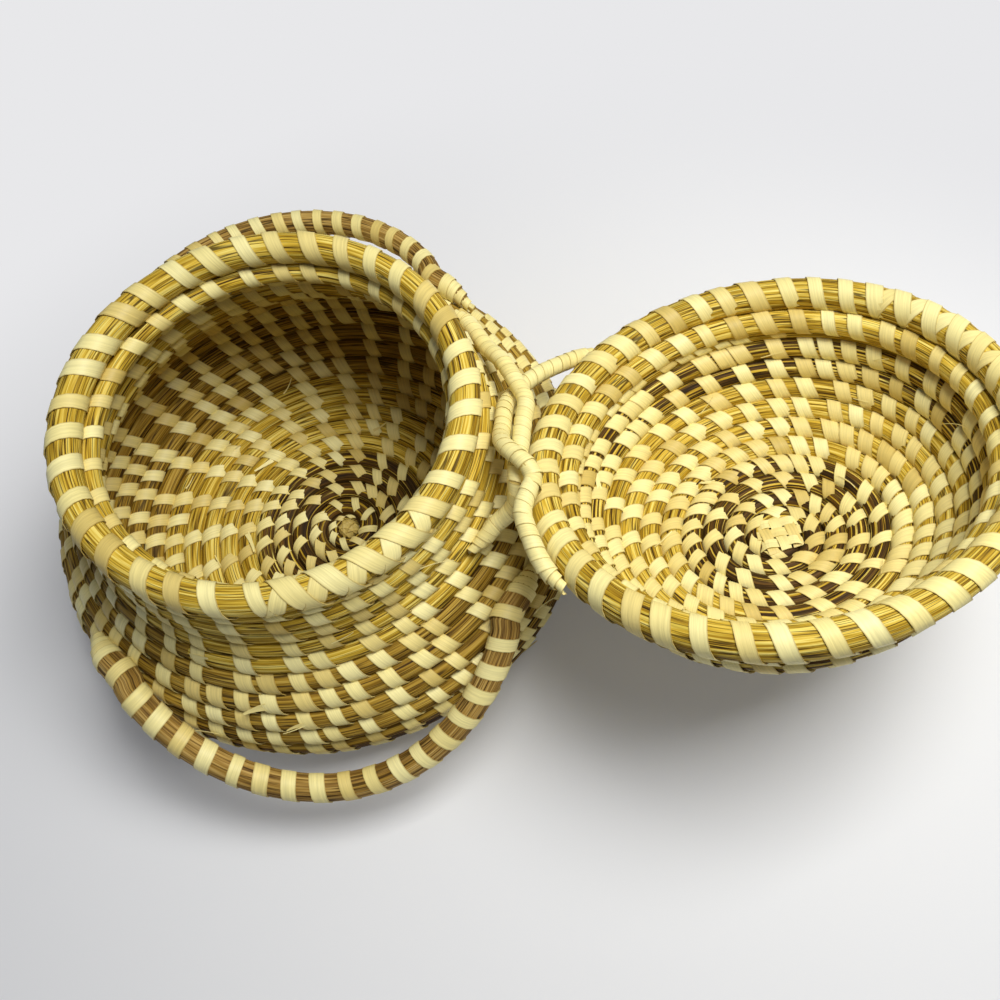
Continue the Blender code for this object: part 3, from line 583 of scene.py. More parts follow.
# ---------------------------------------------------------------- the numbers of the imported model


@dataclass(frozen=True)
class Sizes:
    """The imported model's numbers, which the looks follow."""

    coil: float = 4.0 * MM
    gap: float = 0.6 * MM
    ledge_coil: float = 3.6 * MM
    lid_coil: float = 4.25 * MM
    rim_coil: float = 5.7 * MM
    lid_rim_coil: float = 6.2 * MM
    front_handle: float = 5.7 * MM
    back_handle: float = 5.0 * MM
    loop: float = 3.3 * MM
    knot: float = 4.8 * MM
    seat_gap: float = 0.4 * MM
    foot: float = 3.2 * MM
    wall_line: tuple[tuple[float, float], ...] = (
        (0.0770, 0.0032), (0.0900, 0.0085), (0.1020, 0.0185), (0.1085, 0.0325), (0.1070, 0.0465),
        (0.0995, 0.0580), (0.0900, 0.0670), (0.0825, 0.0765), (0.0780, 0.0880), (0.0772, 0.1020),
    )
    rim_lean: float = math.radians(18.8)
    rim_seat_share: float = 0.926
    ledge_gap: float = 0.2 * MM
    lid_edge_overhang: float = 6.9 * MM
    lid_rim_overhang: float = 7.2 * MM
    lid_edge_rise: float = 8.2 * MM
    lid_seat_gap: float = 1.8 * MM
    lid_depth: float = 56.0 * MM
    lid_shares: tuple[float, float] = (0.52, 0.80)
    hinge_reach: float = 5.7 * MM
    hinge_drop: float = 13.1 * MM
    hinge_lean: float = math.radians(8.1)
    opening: float = math.radians(170.8)
    rim_splice: float = math.radians(-52.5)
    ledge_splice: float = math.radians(-45.0)
    lid_splice: float = math.radians(142.5)

    @property
    def rim_radius(self) -> float:
        """The radius of the rim's middle line."""
        return self.wall_line[-1][0] - self.rim_seat_share * (self.coil + self.rim_coil) * math.sin(self.rim_lean)

    @property
    def rim_height(self) -> float:
        """The height of the rim's middle line."""
        return self.wall_line[-1][1] + self.rim_seat_share * (self.coil + self.rim_coil) * math.cos(self.rim_lean)

    @property
    def ledge_radius(self) -> float:
        """The radius of the ledge's middle line."""
        return self.wall_line[-1][0] - self.coil - self.ledge_coil - self.ledge_gap

    @property
    def lid_edge_radius(self) -> float:
        """The radius of the lid's seat ring."""
        return self.rim_radius + self.lid_edge_overhang

    @property
    def lid_rim_radius(self) -> float:
        """The radius of the lid's rim."""
        return self.lid_edge_radius + self.lid_rim_overhang

    @property
    def shut_height(self) -> float:
        """The height of the shut lid's rim."""
        reach = self.rim_coil + self.lid_coil + self.lid_seat_gap
        aside = self.lid_edge_radius - self.rim_radius
        return self.rim_height + math.sqrt(reach * reach - aside * aside) - self.lid_edge_rise

    @property
    def hinge(self) -> np.ndarray:
        """The hinge line's point over the +X axis."""
        return np.array([self.lid_rim_radius + self.hinge_reach, 0.0, self.shut_height - self.hinge_drop])

    @property
    def hinge_axis(self) -> np.ndarray:
        """The hinge line's direction."""
        return np.array([0.0, math.cos(self.hinge_lean), -math.sin(self.hinge_lean)])

    def about_hinge(self, rows: tuple[tuple[float, float, float], ...]) -> np.ndarray:
        """Points from their places along the hinge line, out from the basket and up, in millimetres."""
        up = -np.cross(self.hinge_axis, [1.0, 0.0, 0.0])
        places = np.array(rows) * MM
        return self.hinge + places[:, :1] * self.hinge_axis + places[:, 1:2] * [1.0, 0.0, 0.0] + places[:, 2:] * up

    def lid_opened(self) -> Matrix:
        """The move from the shut lid to the open one."""
        point = Matrix.Translation(Vector(self.hinge))
        return point @ Matrix.Rotation(self.opening, 4, Vector(self.hinge_axis)) @ point.inverted()


SIZES = Sizes()


@dataclass
class Winding:
    """A bundle wound along a profile from a knot, turn after turn."""

    profile: Profile
    first: float
    pitch: float
    last: float
    rise: float = 0.0
    step: float = 2.8 * MM
    opened_out: float = 52 * MM

    def turn_at(self, length: float) -> float:
        """The turn reached at this length of the profile."""
        return (length - self.first) / self.pitch

    def level(self, turns: np.ndarray) -> np.ndarray:
        """The profile lengths at these turns; before the first turn and past the last the bundle thins in its wedge."""
        past = np.clip(turns - self.last, 0.0, None)
        before = np.clip(turns, None, 0.0)
        return self.first + (np.clip(turns, 0.0, self.last) + (past + before) / 2) * self.pitch

    def girth(self, turns: np.ndarray) -> np.ndarray:
        """The bundle's thickness as a share of the whole: it thins to nothing over a turn at both its ends."""
        return np.clip(np.minimum(1.0 + turns, 1.0 - (turns - self.last)), 0.08, 1.0)

    def radius(self, turn: float) -> float:
        """The distance from the axis at this turn."""
        return float(self.profile.at(self.level(np.array([turn])))[0, 0])

    def turns(self, start: float, stop: float) -> np.ndarray:
        """Turn values about one step apart along the winding."""
        fine = np.linspace(start, stop, max(8, int((stop - start) * 400)))
        radius = self.profile.at(self.level(fine))[:, 0]
        walked = np.concatenate([[0.0], np.cumsum(np.diff(fine) * math.tau * (radius[1:] + radius[:-1]) / 2)])
        return np.interp(np.linspace(0.0, walked[-1], max(4, int(walked[-1] / self.step))), walked, fine)

    def route(self, start: float, stop: float) -> Route:
        """The line from one turn to another.

        Args:
            start: The first turn.
            stop: The last turn.

        Returns:
            The line with its directions.
        """
        turns = self.turns(start, stop)
        lengths = self.level(turns)
        places, heading = self.profile.at(lengths), self.profile.heading(lengths)
        azimuth = turns * math.tau
        points = polar(places[:, 0], azimuth, places[:, 1] + self.rise)
        return Route(points, polar(heading[:, 0], azimuth, heading[:, 1]), self.girth(turns))

    def sewn(self, start: float, stop: float, spacing: float, dense: float, drift: float, seed: int) -> np.ndarray:
        """Where the stitches fall: each over one of the row before, with more as the rows widen.

        Args:
            start: The first turn.
            stop: The last turn.
            spacing: The usual distance between two stitches.
            dense: The same beside the knot, where the rows are short.
            drift: How far each stitch stands on from the one below it.
            seed: Fixes the small unevenness.

        Returns:
            The stitches' turn values.
        """
        chance = random.Random(seed)
        turns = [start + 0.02]
        while turns[-1] < stop:
            here = turns[-1]
            circle = math.tau * max(self.radius(here), 4 * MM)
            easing = min(1.0, (self.radius(here) - 8 * MM) / self.opened_out)
            goal = (dense + (spacing - dense) * max(0.0, easing)) / circle
            below = [turn + 1 + drift / circle for turn in turns[-80:]]
            ahead = [turn for turn in below if turn > here + 0.62 * goal]
            nearest = ahead[0] if ahead else here + goal
            if nearest > here + 1.42 * goal:
                nearest = (here + nearest) / 2 if nearest < here + 2.3 * goal else here + goal
            turns.append(nearest + chance.uniform(-0.05, 0.05) * goal)
        return np.array([turn for turn in turns if turn < stop])


def ring_route(radius: float, height: float, start: float, away: tuple[float, float], step: float = 2.6 * MM) -> Route:
    """One full turn at a rim.

    Args:
        radius: The ring's radius.
        height: Its height.
        start: The azimuth of its splice.
        away: The direction from the row below it, in the plane of radius and height.
        step: The distance between two points.

    Returns:
        The line with its directions.
    """
    count = int(math.tau * radius / step)
    azimuth = start + np.linspace(0.0, math.tau, count + 1)
    heading = unit(np.array(away))
    return Route(polar(radius + 0 * azimuth, azimuth, height + 0 * azimuth), polar(heading[0] + 0 * azimuth, azimuth, heading[1]))


# ---------------------------------------------------------------- pieces


class Workshop:
    """Makes and declares every piece from the same two trees and the object's finishes."""

    # Heights between which the underside is pressed together
    pressed_below: float = 0.7 * MM
    deepest: float = -1.8 * MM

    def __init__(self) -> None:
        """Builds the trees and the materials once."""
        self.bundle_tree = stem_bundle_tree()
        self.sewing_tree = sewing_tree()
        self.finishes = {
            "grass": GrassFinish("dried_sweetgrass").make(),
            # Browner grass for the lower wall and the belly: partly the grass's own colour, partly painted shade for
            # the wall's darker, under-curving front
            "tan_and_shade": GrassFinish("dried_sweetgrass_tan_and_painted_shade", gold="#A58229", pale="#C2A146", brown="#6E5115").make(),
            # Darker, browner grass for the handles: painted shade for the lower light on them
            "handle": GrassFinish("dried_sweetgrass_painted_shade", gold="#A5813C", pale="#C6A55E", brown="#705226").make(),
            "palmetto": PalmettoFinish("split_palmetto_leaf").make(),
        }
        self.seed = 0

    def declare(self, piece: bpy.types.Object, body: Body, slot: Slot, nodes: tuple[str, ...]) -> bpy.types.Object:
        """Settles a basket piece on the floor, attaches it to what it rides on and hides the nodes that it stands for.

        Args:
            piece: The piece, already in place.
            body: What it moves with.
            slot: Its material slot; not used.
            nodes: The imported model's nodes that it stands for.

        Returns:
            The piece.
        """
        if body is Body.BASKET:
            self.settle(piece.data)
        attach(piece, body.value)
        if nodes:
            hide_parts(*nodes)
        LOG.info("%s: %d faces on %s", piece.name, len(piece.data.polygons), body.value)
        return piece

    def settle(self, mesh: bpy.types.Mesh) -> None:
        """Presses what would reach under the floor flat on it, stems and strips in the order in which they lie.

        Args:
            mesh: The mesh of a piece of the basket.
        """
        places = np.empty(len(mesh.vertices) * 3, np.float32)
        mesh.vertices.foreach_get("co", places)
        heights = places[2::3]
        if heights.min() >= self.pressed_below:
            return
        share = (heights - self.deepest) / (self.pressed_below - self.deepest)
        places[2::3] = np.where(heights < self.pressed_below, np.clip(share, 0.0, 1.0) * self.pressed_below, heights)
        mesh.vertices.foreach_set("co", places)
        mesh.update()

    def bundle(self, name: str, routes: list[Route], radius: float, finish: str, body: Body, slot: Slot, nodes: tuple[str, ...] = (), stems: int = 30, relief: float = 0.38 * MM) -> bpy.types.Object:
        """A bundle of grass along one or more lines.

        Args:
            name: The piece's name.
            routes: The lines.
            radius: The bundle's radius.
            finish: Which of the finishes it has.
            body: What it moves with.
            slot: Its material slot.
            nodes: The nodes that it stands for.
            stems: How many stems show round it.
            relief: How deep the gaps between stems are.

        Returns:
            The piece.
        """
        self.seed += 1
        mesh = bpy.data.meshes.new(name)
        points = np.vstack([route.points for route in routes])
        edges, start = [], 0
        for route in routes:
            edges += [(start + index, start + index + 1) for index in range(len(route.points) - 1)]
            start += len(route.points)
        mesh.from_pydata(points.tolist(), edges, [])
        girth = mesh.attributes.new("girth", "FLOAT", "POINT")
        girth.data.foreach_set("value", np.concatenate([route.girth for route in routes]).astype(np.float32))
        dye = mesh.attributes.new("dye", "FLOAT", "POINT")
        dye.data.foreach_set("value", np.concatenate([route.dye for route in routes]).astype(np.float32))
        piece = grown(name, mesh, self.bundle_tree, {
            "Bundle radius": radius, "Stems round": stems, "Relief": relief, "Stem width": 1.25 * MM,
            "Stem run": 30 * MM, "Shift": 0.37 * self.seed, "Material": self.finishes[finish],
        })
        return self.declare(piece, body, slot, nodes)

    def sewing(self, name: str, points: np.ndarray, turned: list[Matrix], reach: float, lean: float, body: Body, nodes: tuple[str, ...] = (), width: float = 6.0 * MM, thickness: float = 0.28 * MM, start: float = -80.0, end: float = 260.0, steps: int = 12, width_spread: float = 0.14, turn_spread: float = 0.05, girth: np.ndarray | None = None, tilt: float = 0.0, tones: tuple[float, float] = (0.0, 1.0)) -> bpy.types.Object:
        """Strips of palmetto bent round a bundle.

        Args:
            name: The piece's name.
            points: The middle of each stitch on the bundle's line.
            turned: Each stitch's frame.
            reach: The distance from the line to the strip's middle.
            lean: How far the strip runs along the bundle over half a turn round it.
            body: What it moves with.
            nodes: The nodes that it stands for.
            width: The strip's width.
            thickness: Its thickness.
            start: Where it comes out of the row below, in degrees from the outward side.
            end: Where it goes back in.
            steps: How many faces follow it round.
            width_spread: How much the widths differ.
            turn_spread: How much the strips are turned, in radians.
            girth: Each stitch's bundle thickness as a share of the whole.
            tilt: How far one edge of a strip stands over the other, as where wraps overlap.
            tones: The dullest and the palest that a strip may be.

        Returns:
            The piece.
        """
        self.seed += 1
        mesh = bpy.data.meshes.new(name)
        mesh.from_pydata(np.asarray(points).tolist(), [], [])
        rows = np.array([matrix.to_euler("XYZ")[:] for matrix in turned], np.float32)
        mesh.attributes.new("turned", "FLOAT_VECTOR", "POINT").data.foreach_set("vector", rows.ravel())
        shares = np.ones(len(rows)) if girth is None else girth
        mesh.attributes.new("girth", "FLOAT", "POINT").data.foreach_set("value", shares.astype(np.float32))
        piece = grown(name, mesh, self.sewing_tree, {
            "Reach": reach, "Strip width": width, "Strip thickness": thickness, "Lean": lean,
            "Start angle": math.radians(start), "End angle": math.radians(end), "Steps": steps,
            "Width spread": width_spread, "Turn spread": turn_spread, "Tilt": tilt, "Dullest": tones[0],
            "Palest": tones[1], "Seed": 10 * self.seed,
            "Material": self.finishes["palmetto"],
        })
        return self.declare(piece, body, Slot.PALMETTO, nodes)


def joined_frames(parts: list[tuple[np.ndarray, list[Matrix]]]) -> tuple[np.ndarray, list[Matrix]]:
    """Several sets of points and frames as one."""
    return np.vstack([points for points, turned in parts]), [matrix for points, turned in parts for matrix in turned]


@dataclass
class Coiled:
    """What the basket and the lid share: a winding, its sewing and its knot."""

    shop: Workshop
    body: Body = Body.BASKET
    strip_lift: float = 0.42 * MM
    press: float = 0.10 * MM
    move: Matrix = field(default_factory=Matrix)
    # The line of the coil that its hinge loop is sewn to, known once it is built
    carrier: np.ndarray = field(default_factory=lambda: np.zeros((1, 3)))

    def sew(self, name: str, winding: Winding, turns: np.ndarray, coil: float, lean: float, width: float) -> None:
        """Sews one stretch of the winding.

        Args:
            name: The piece's name.
            winding: The winding.
            turns: The stitches' turn values.
            coil: The bundle's radius.
            lean: How far a strip runs along the bundle over half a turn round it.
            width: The strips' width.
        """
        lengths = winding.level(turns)
        places, heading = winding.profile.at(lengths), winding.profile.heading(lengths)
        azimuth = turns * math.tau
        points = polar(places[:, 0], azimuth, places[:, 1] + winding.rise)
        away = polar(heading[:, 0], azimuth, heading[:, 1])
        along = polar(np.ones_like(azimuth), azimuth + math.pi / 2, np.zeros_like(azimuth))
        away = unit(away - np.sum(away * along, axis=1, keepdims=True) * along)
        outward = np.cross(along, away)
        turned = [Matrix(np.stack(rows, axis=1).tolist()) for rows in zip(along, away, outward)]
        points, turned = self.placed(points, turned)
        self.shop.sewing(
            name, points, turned, coil + self.strip_lift, lean, self.body,
            width=width, steps=16, girth=winding.girth(turns),
        )

    def placed(self, points: np.ndarray, turned: list[Matrix]) -> tuple[np.ndarray, list[Matrix]]:
        """Points and frames after the body's move to its rest pose."""
        turn = self.move.to_3x3()
        shift = np.array(self.move.to_translation())
        return np.asarray(points) @ np.array(turn).T + shift, [turn @ matrix for matrix in turned]

    def ring_stitches(self, name: str, route: Route, coil: float, spacing: float, width: float, lean: float, skip: tuple[float, float] = (0.0, 0.0)) -> None:
        """Sews a ring, leaving its spliced ends to the crossed binding.

        Args:
            name: The piece's name.
            route: The ring's line.
            coil: Its radius.
            spacing: The distance between two stitches.
            width: The strip's width.
            lean: How far a strip runs along the ring over half a turn.
            skip: The lengths left bare after the splice and before it.
        """
        chance = random.Random(len(name))
        room = route.length - skip[0] - skip[1]
        count = round(room / spacing)
        places = skip[0] + (np.arange(count) + 0.5) * room / count
        places = places + np.array([chance.uniform(-0.10, 0.10) * spacing for _ in places])
        points, turned = route.frames(places)
        self.shop.sewing(name, points, turned, coil + self.strip_lift, lean, self.body, width=width)

    def crossed_binding(self, name: str, route: Route, coil: float, node: str, crossings: int = 5, pitch: float = 13.6 * MM) -> None:
        """The strips that cross each other over a rim's splice.

        Args:
            name: The piece's name.
            route: The rim's line, which starts and ends at the splice.
            coil: Its radius.
            node: The node that it stands for.
            crossings: How many times the strips cross.
            pitch: The distance between two crossings.
        """
        places = ((np.arange(crossings) - (crossings - 1) / 2) * pitch) % route.length
        points, turned = route.frames(places)
        self.shop.sewing(
            name, points, turned, coil + 0.34 * MM, 10 * MM, self.body, (node,), width=7.2 * MM, start=-75,
            end=255, steps=14, turn_spread=0.04, tones=(0.3, 0.9),
        )
        self.shop.sewing(
            f"{name}_over", points, turned, coil + 0.66 * MM, -10 * MM, self.body, width=7.8 * MM, start=-75,
            end=255, steps=14, turn_spread=0.04, tones=(0.3, 0.9),
        )

    def knot(self, name: str, centre: np.ndarray, node: str, tones: tuple[float, float]) -> None:
        """The first knot: strips pulled over each other round the bundle's folded end.

        Args:
            name: The piece's name.
            centre: Its middle, before the body's move.
            node: The node that it stands for.
            tones: The dullest and the palest that its strips are.
        """
        bands = 5
        turned = [
            Matrix.Rotation(math.pi * index / bands + 0.2, 3, "Z") @ Matrix.Rotation(0.16 * (-1) ** index, 3, "Y")
            for index in range(bands)
        ]
        points, turned = self.placed(np.repeat(centre[None, :], bands, axis=0), turned)
        self.shop.sewing(
            name, points, turned, SIZES.knot - 0.5 * MM, 0.5 * MM, self.body, (node,), width=4.6 * MM,
            thickness=0.7 * MM, start=-100, end=260, steps=12, width_spread=0.1, turn_spread=0.1, tones=tones,
        )

    def woven_start(self, name: str, centre: np.ndarray, headings: tuple[float, float], rise: float) -> None:
        """The start's woven patch: strips laid over and under each other across the first turns.

        Args:
            name: The piece's name.
            centre: Its middle, before the body's move.
            headings: Which way each set of strips runs.
            rise: Its direction away from the rows, up or down.
        """
        count, width, pitch, half, wave = 3, 4.4 * MM, 5.3 * MM, 9.0 * MM, 0.42 * MM
        ribbons = []
        for which, heading in enumerate(headings):
            along = np.array([math.cos(heading), math.sin(heading), 0.0])
            aside = np.array([-along[1], along[0], 0.0])
            for index in range(count):
                offset = (index - (count - 1) / 2) * pitch
                reach = np.linspace(-half, half, 15)
                over = np.cos(math.pi * (reach / pitch + index + which)) * wave
                away = np.hypot(offset, reach)
                down = 2.4 * MM * np.clip((away - 7.0 * MM) / (4 * MM), 0.0, 1.0) ** 2
                middle = centre + aside * offset + reach[:, None] * along
                middle[:, 2] += rise * (over - down)
                ribbons.append((middle, np.repeat(aside[None, :] * width / 2, 15, axis=0), np.array([0.0, 0.0, rise]) * 0.16 * MM, 0.1 + 0.22 * ((index * 2 + which * 3) % 4)))
        self.ribbons(name, ribbons)

    def ribbons(self, name: str, ribbons: list[tuple[np.ndarray, np.ndarray, np.ndarray, float]]) -> None:
        """Makes one piece of thin closed ribbons.

        Args:
            name: The piece's name.
            ribbons: Each one's middle line, half its width at each point, half its thickness, and its tone.
        """
        corners, faces, strips, tones = [], [], [], []
        turn, shift = np.array(self.move.to_3x3()), np.array(self.move.to_translation())
        for middle, halves, thick, tone in ribbons:
            run = np.concatenate([[0.0], np.cumsum(np.linalg.norm(np.diff(middle, axis=0), axis=1))])
            for step, (place, half) in enumerate(zip(middle, halves)):
                ring = len(corners)
                for across, up in ((-1, -1), (1, -1), (1, 1), (-1, 1)):
                    corners.append(turn @ (place + half * across + thick * up) + shift)
                    strips.append((float(np.linalg.norm(half)) * across, run[step], across * 0.9))
                    tones.append(tone)
                if step:
                    faces += [(ring - 4 + a, ring - 4 + (a + 1) % 4, ring + (a + 1) % 4, ring + a) for a in range(4)]
                else:
                    faces.append((ring + 3, ring + 2, ring + 1, ring))
            faces.append((ring, ring + 1, ring + 2, ring + 3))
        mesh = bpy.data.meshes.new(name)
        mesh.from_pydata([tuple(corner) for corner in corners], [], faces)
        mesh.attributes.new("strip", "FLOAT_VECTOR", "POINT").data.foreach_set("vector", np.array(strips, np.float32).ravel())
        mesh.attributes.new("tone", "FLOAT", "POINT").data.foreach_set("value", np.array(tones, np.float32))
        mesh.materials.append(self.shop.finishes["palmetto"])
        shape = bmesh.new()
        shape.from_mesh(mesh)
        bmesh.ops.recalc_face_normals(shape, faces=shape.faces)
        shape.to_mesh(mesh)
        shape.free()
        made = bpy.data.objects.new(name, mesh)
        bpy.context.scene.collection.objects.link(made)
        self.shop.declare(made, self.body, Slot.PALMETTO, ())

    def loose_ends(self, name: str, winding: Winding, places: list[tuple[float, float, float, float]], coil: float) -> None:
        """Tails of strip and stray fibres that stand off the rows.

        Args:
            name: The piece's name.
            winding: The winding that they come out of.
            places: Each tail's turn, side round the bundle in degrees, length and width.
            coil: The bundle's radius.
        """
        chance = random.Random(len(places))
        ribbons = []
        for turn, side, length, width in places:
            route = winding.route(turn, turn + 0.05)
            start, along, away, outward = route.points[0], route.along[0], route.away[0], route.outward[0]
            rise = unit(away * math.sin(math.radians(side)) + outward * math.cos(math.radians(side)))
            heading = unit(along * chance.choice((-1.0, 1.0)) + np.cross(along, rise) * chance.uniform(-0.6, 0.6))
            lift, curl, tone = chance.uniform(0.12, 0.3) * length, chance.uniform(-0.35, 0.35) * length, chance.uniform(0.3, 1.0)
            aside, share = np.cross(heading, rise), np.linspace(0.0, 1.0, 8)[:, None]
            middle = start + rise * (coil + 0.3 * MM + lift * share**1.6) + heading * length * share + aside * curl * share**2
            ribbons.append((middle, aside * width * (0.5 - 0.35 * share), rise * 0.09 * MM, tone))
        self.ribbons(name, ribbons)

    def scattered(self, winding: Winding, low: float, high: float, count: int, seed: int) -> list[tuple[float, float, float, float]]:
        """Random places for loose ends: turn, side, length and width.

        Args:
            winding: The winding.
            low: The first turn.
            high: The last turn.
            count: How many.
            seed: Fixes the draw.

        Returns:
            The places.
        """
        chance = random.Random(seed)
        found = []
        for _ in range(count):
            side = chance.choice((0.0, 180.0)) + chance.uniform(-35, 35)
            thin = chance.random() < 0.45
            found.append((chance.uniform(low, high), side, chance.uniform(6, 15) * MM, chance.uniform(0.4, 0.7) * MM if thin else chance.uniform(1.2, 2.6) * MM))
        return found


@dataclass
class Basket(Coiled):
    """The basket: dark base, golden floor, dark foot, golden belly, neck, ledge and rim."""

    base_centre_end: float = 44.0 * MM
    base_floor_end: float = 84.0 * MM
    lower_wall_end: float = 119.0 * MM
    belly_end: float = 170.0 * MM
    stitch_spacing: float = 14.6 * MM
    # Dye share kept at the back, and the azimuth that it turns from: painted light and shade round the wall
    lit_back_dye_share: float = 0.3
    opened: float = 0.5
    painted_light_azimuth: float = math.radians(20.0)
    # Turn, length and width in millimetres of the tails that hang out on the front
    front_tails: tuple[tuple[float, float, float], ...] = (
        (14.72, 16.0, 0.6), (16.75, 9.0, 3.2), (15.77, 6.5, 2.4), (19.80, 13.0, 0.6), (18.70, 9.0, 2.2),
    )

    def build(self) -> None:
        """Makes every piece of the wound basket."""
        size = SIZES
        profile = wall_profile()
        pitch = 2 * size.coil + size.gap
        first = size.knot + size.seat_gap + size.coil
        winding = Winding(profile, first, pitch, (profile.length - first) / pitch)
        thick = pitch / 2 + self.press
        self.carrier = winding.route(winding.last / 2, winding.last).points
        ends = [self.base_centre_end, self.base_floor_end, self.lower_wall_end, self.belly_end]
        turns = [-0.92, *[winding.turn_at(end) for end in ends], winding.last + 0.92]
        names = ("base_centre_coil", "base_floor_coil", "lower_wall_coil", "belly_coil", "neck_coil")
        dyes = (
            (0.82, 0.76, 0.58), (0.06, 0.0, 0.08), (0.10, 0.08, 0.12, 0.25, 0.7, 0.85),
            (0.8, 0.55, 0.2, 0.08, 0.06, 0.05, 0.05, 0.05), (0.02, 0.0),
        )
        slots = (Slot.DYED, Slot.GRASS, Slot.DYED, Slot.GRASS, Slot.GRASS)
        # The lower wall and the belly take the browner grass, partly painted shade where the wall curves under
        finishes = ("grass", "grass", "tan_and_shade", "tan_and_shade", "grass")
        for index, (name, dye, slot) in enumerate(zip(names, dyes, slots)):
            route = winding.route(turns[index], turns[index + 1]).dyed(dye)
            if slot is Slot.DYED or name == "belly_coil":
                # Painted light and shade: the dye thins towards the back and thickens on the front, so the inside of
                # the back wall renders lighter and the front darker
                azimuth = np.arctan2(route.points[:, 1], route.points[:, 0])
                back_dye_share = self.lit_back_dye_share if index else 1.0
                route.dye *= back_dye_share + (1.0 - back_dye_share) * (0.5 - 0.5 * np.sin(azimuth - self.painted_light_azimuth))
            self.shop.bundle(f"{name}_stems", [route], thick, finishes[index], self.body, slot, (name,))
        stitches = winding.sewn(-0.6, winding.last + 0.5, self.stitch_spacing, 7.2 * MM, 0.6 * MM, 3)
        for name, low, high, lean, width in (
            ("base_centre", 0, 1, -8.6, 5.4), ("base_floor", 1, 2, -7.2, 6.3), ("lower_wall", 2, 3, -6.2, 6.3),
            ("belly", 3, 4, -5.4, 6.3), ("neck", 4, 5, -5.4, 6.3),
        ):
            part = stitches[(stitches >= max(turns[low], self.opened)) & (stitches < turns[high])]
            self.sew(f"{name}_stitches", winding, part, thick, lean * MM, width * MM)
        # The first turn is sewn with narrower strips, close together
        firsts = np.linspace(-0.7, self.opened - 0.02, 11)
        self.sew("base_first_stitches", winding, firsts, thick, -4.0 * MM, 3.3 * MM)
        # The knot's strips take the dullest tone: painted shade for the shadowed hollow at the middle of the floor
        self.knot("base_start_knot_strips", np.array([0.0, 0.0, size.foot]), "base_start_knot", (0.0, 0.0))
        tails = [(turn, 0.0, length * MM, width * MM) for turn, length, width in self.front_tails]
        # None under the base, where the basket stands
        standing = winding.turn_at(self.base_floor_end) + 1.0
        tails += [
            (turn, side + 180.0 if turn < standing and abs(side) < 90.0 else side, length, width)
            for turn, side, length, width in self.scattered(winding, 3.0, winding.last - 0.5, 34, 11)
        ]
        self.loose_ends("basket_loose_ends", winding, tails, thick)
        ledge = ring_route(size.ledge_radius, size.wall_line[-1][1], size.ledge_splice, (-1.0, 0.0))
        self.shop.bundle("mouth_ledge_stems", [ledge], size.ledge_coil, "grass", self.body, Slot.GRASS, ("mouth_ledge_coil",))
        self.ring_stitches("mouth_ledge_stitches", ledge, size.ledge_coil, 13.5 * MM, 5.7 * MM, -4.6 * MM)
        away = (-math.sin(size.rim_lean), math.cos(size.rim_lean))
        rim = ring_route(size.rim_radius, size.rim_height, size.rim_splice, away)
        self.shop.bundle("rim_stems", [rim], size.rim_coil, "grass", self.body, Slot.GRASS, ("rim_coil",), stems=36)
        self.ring_stitches("rim_stitches", rim, size.rim_coil, 13.6 * MM, 6.5 * MM, -7.0 * MM, (33 * MM, 33 * MM))
        self.crossed_binding("rim_crossed_strips", rim, size.rim_coil, "rim_cross_binding")


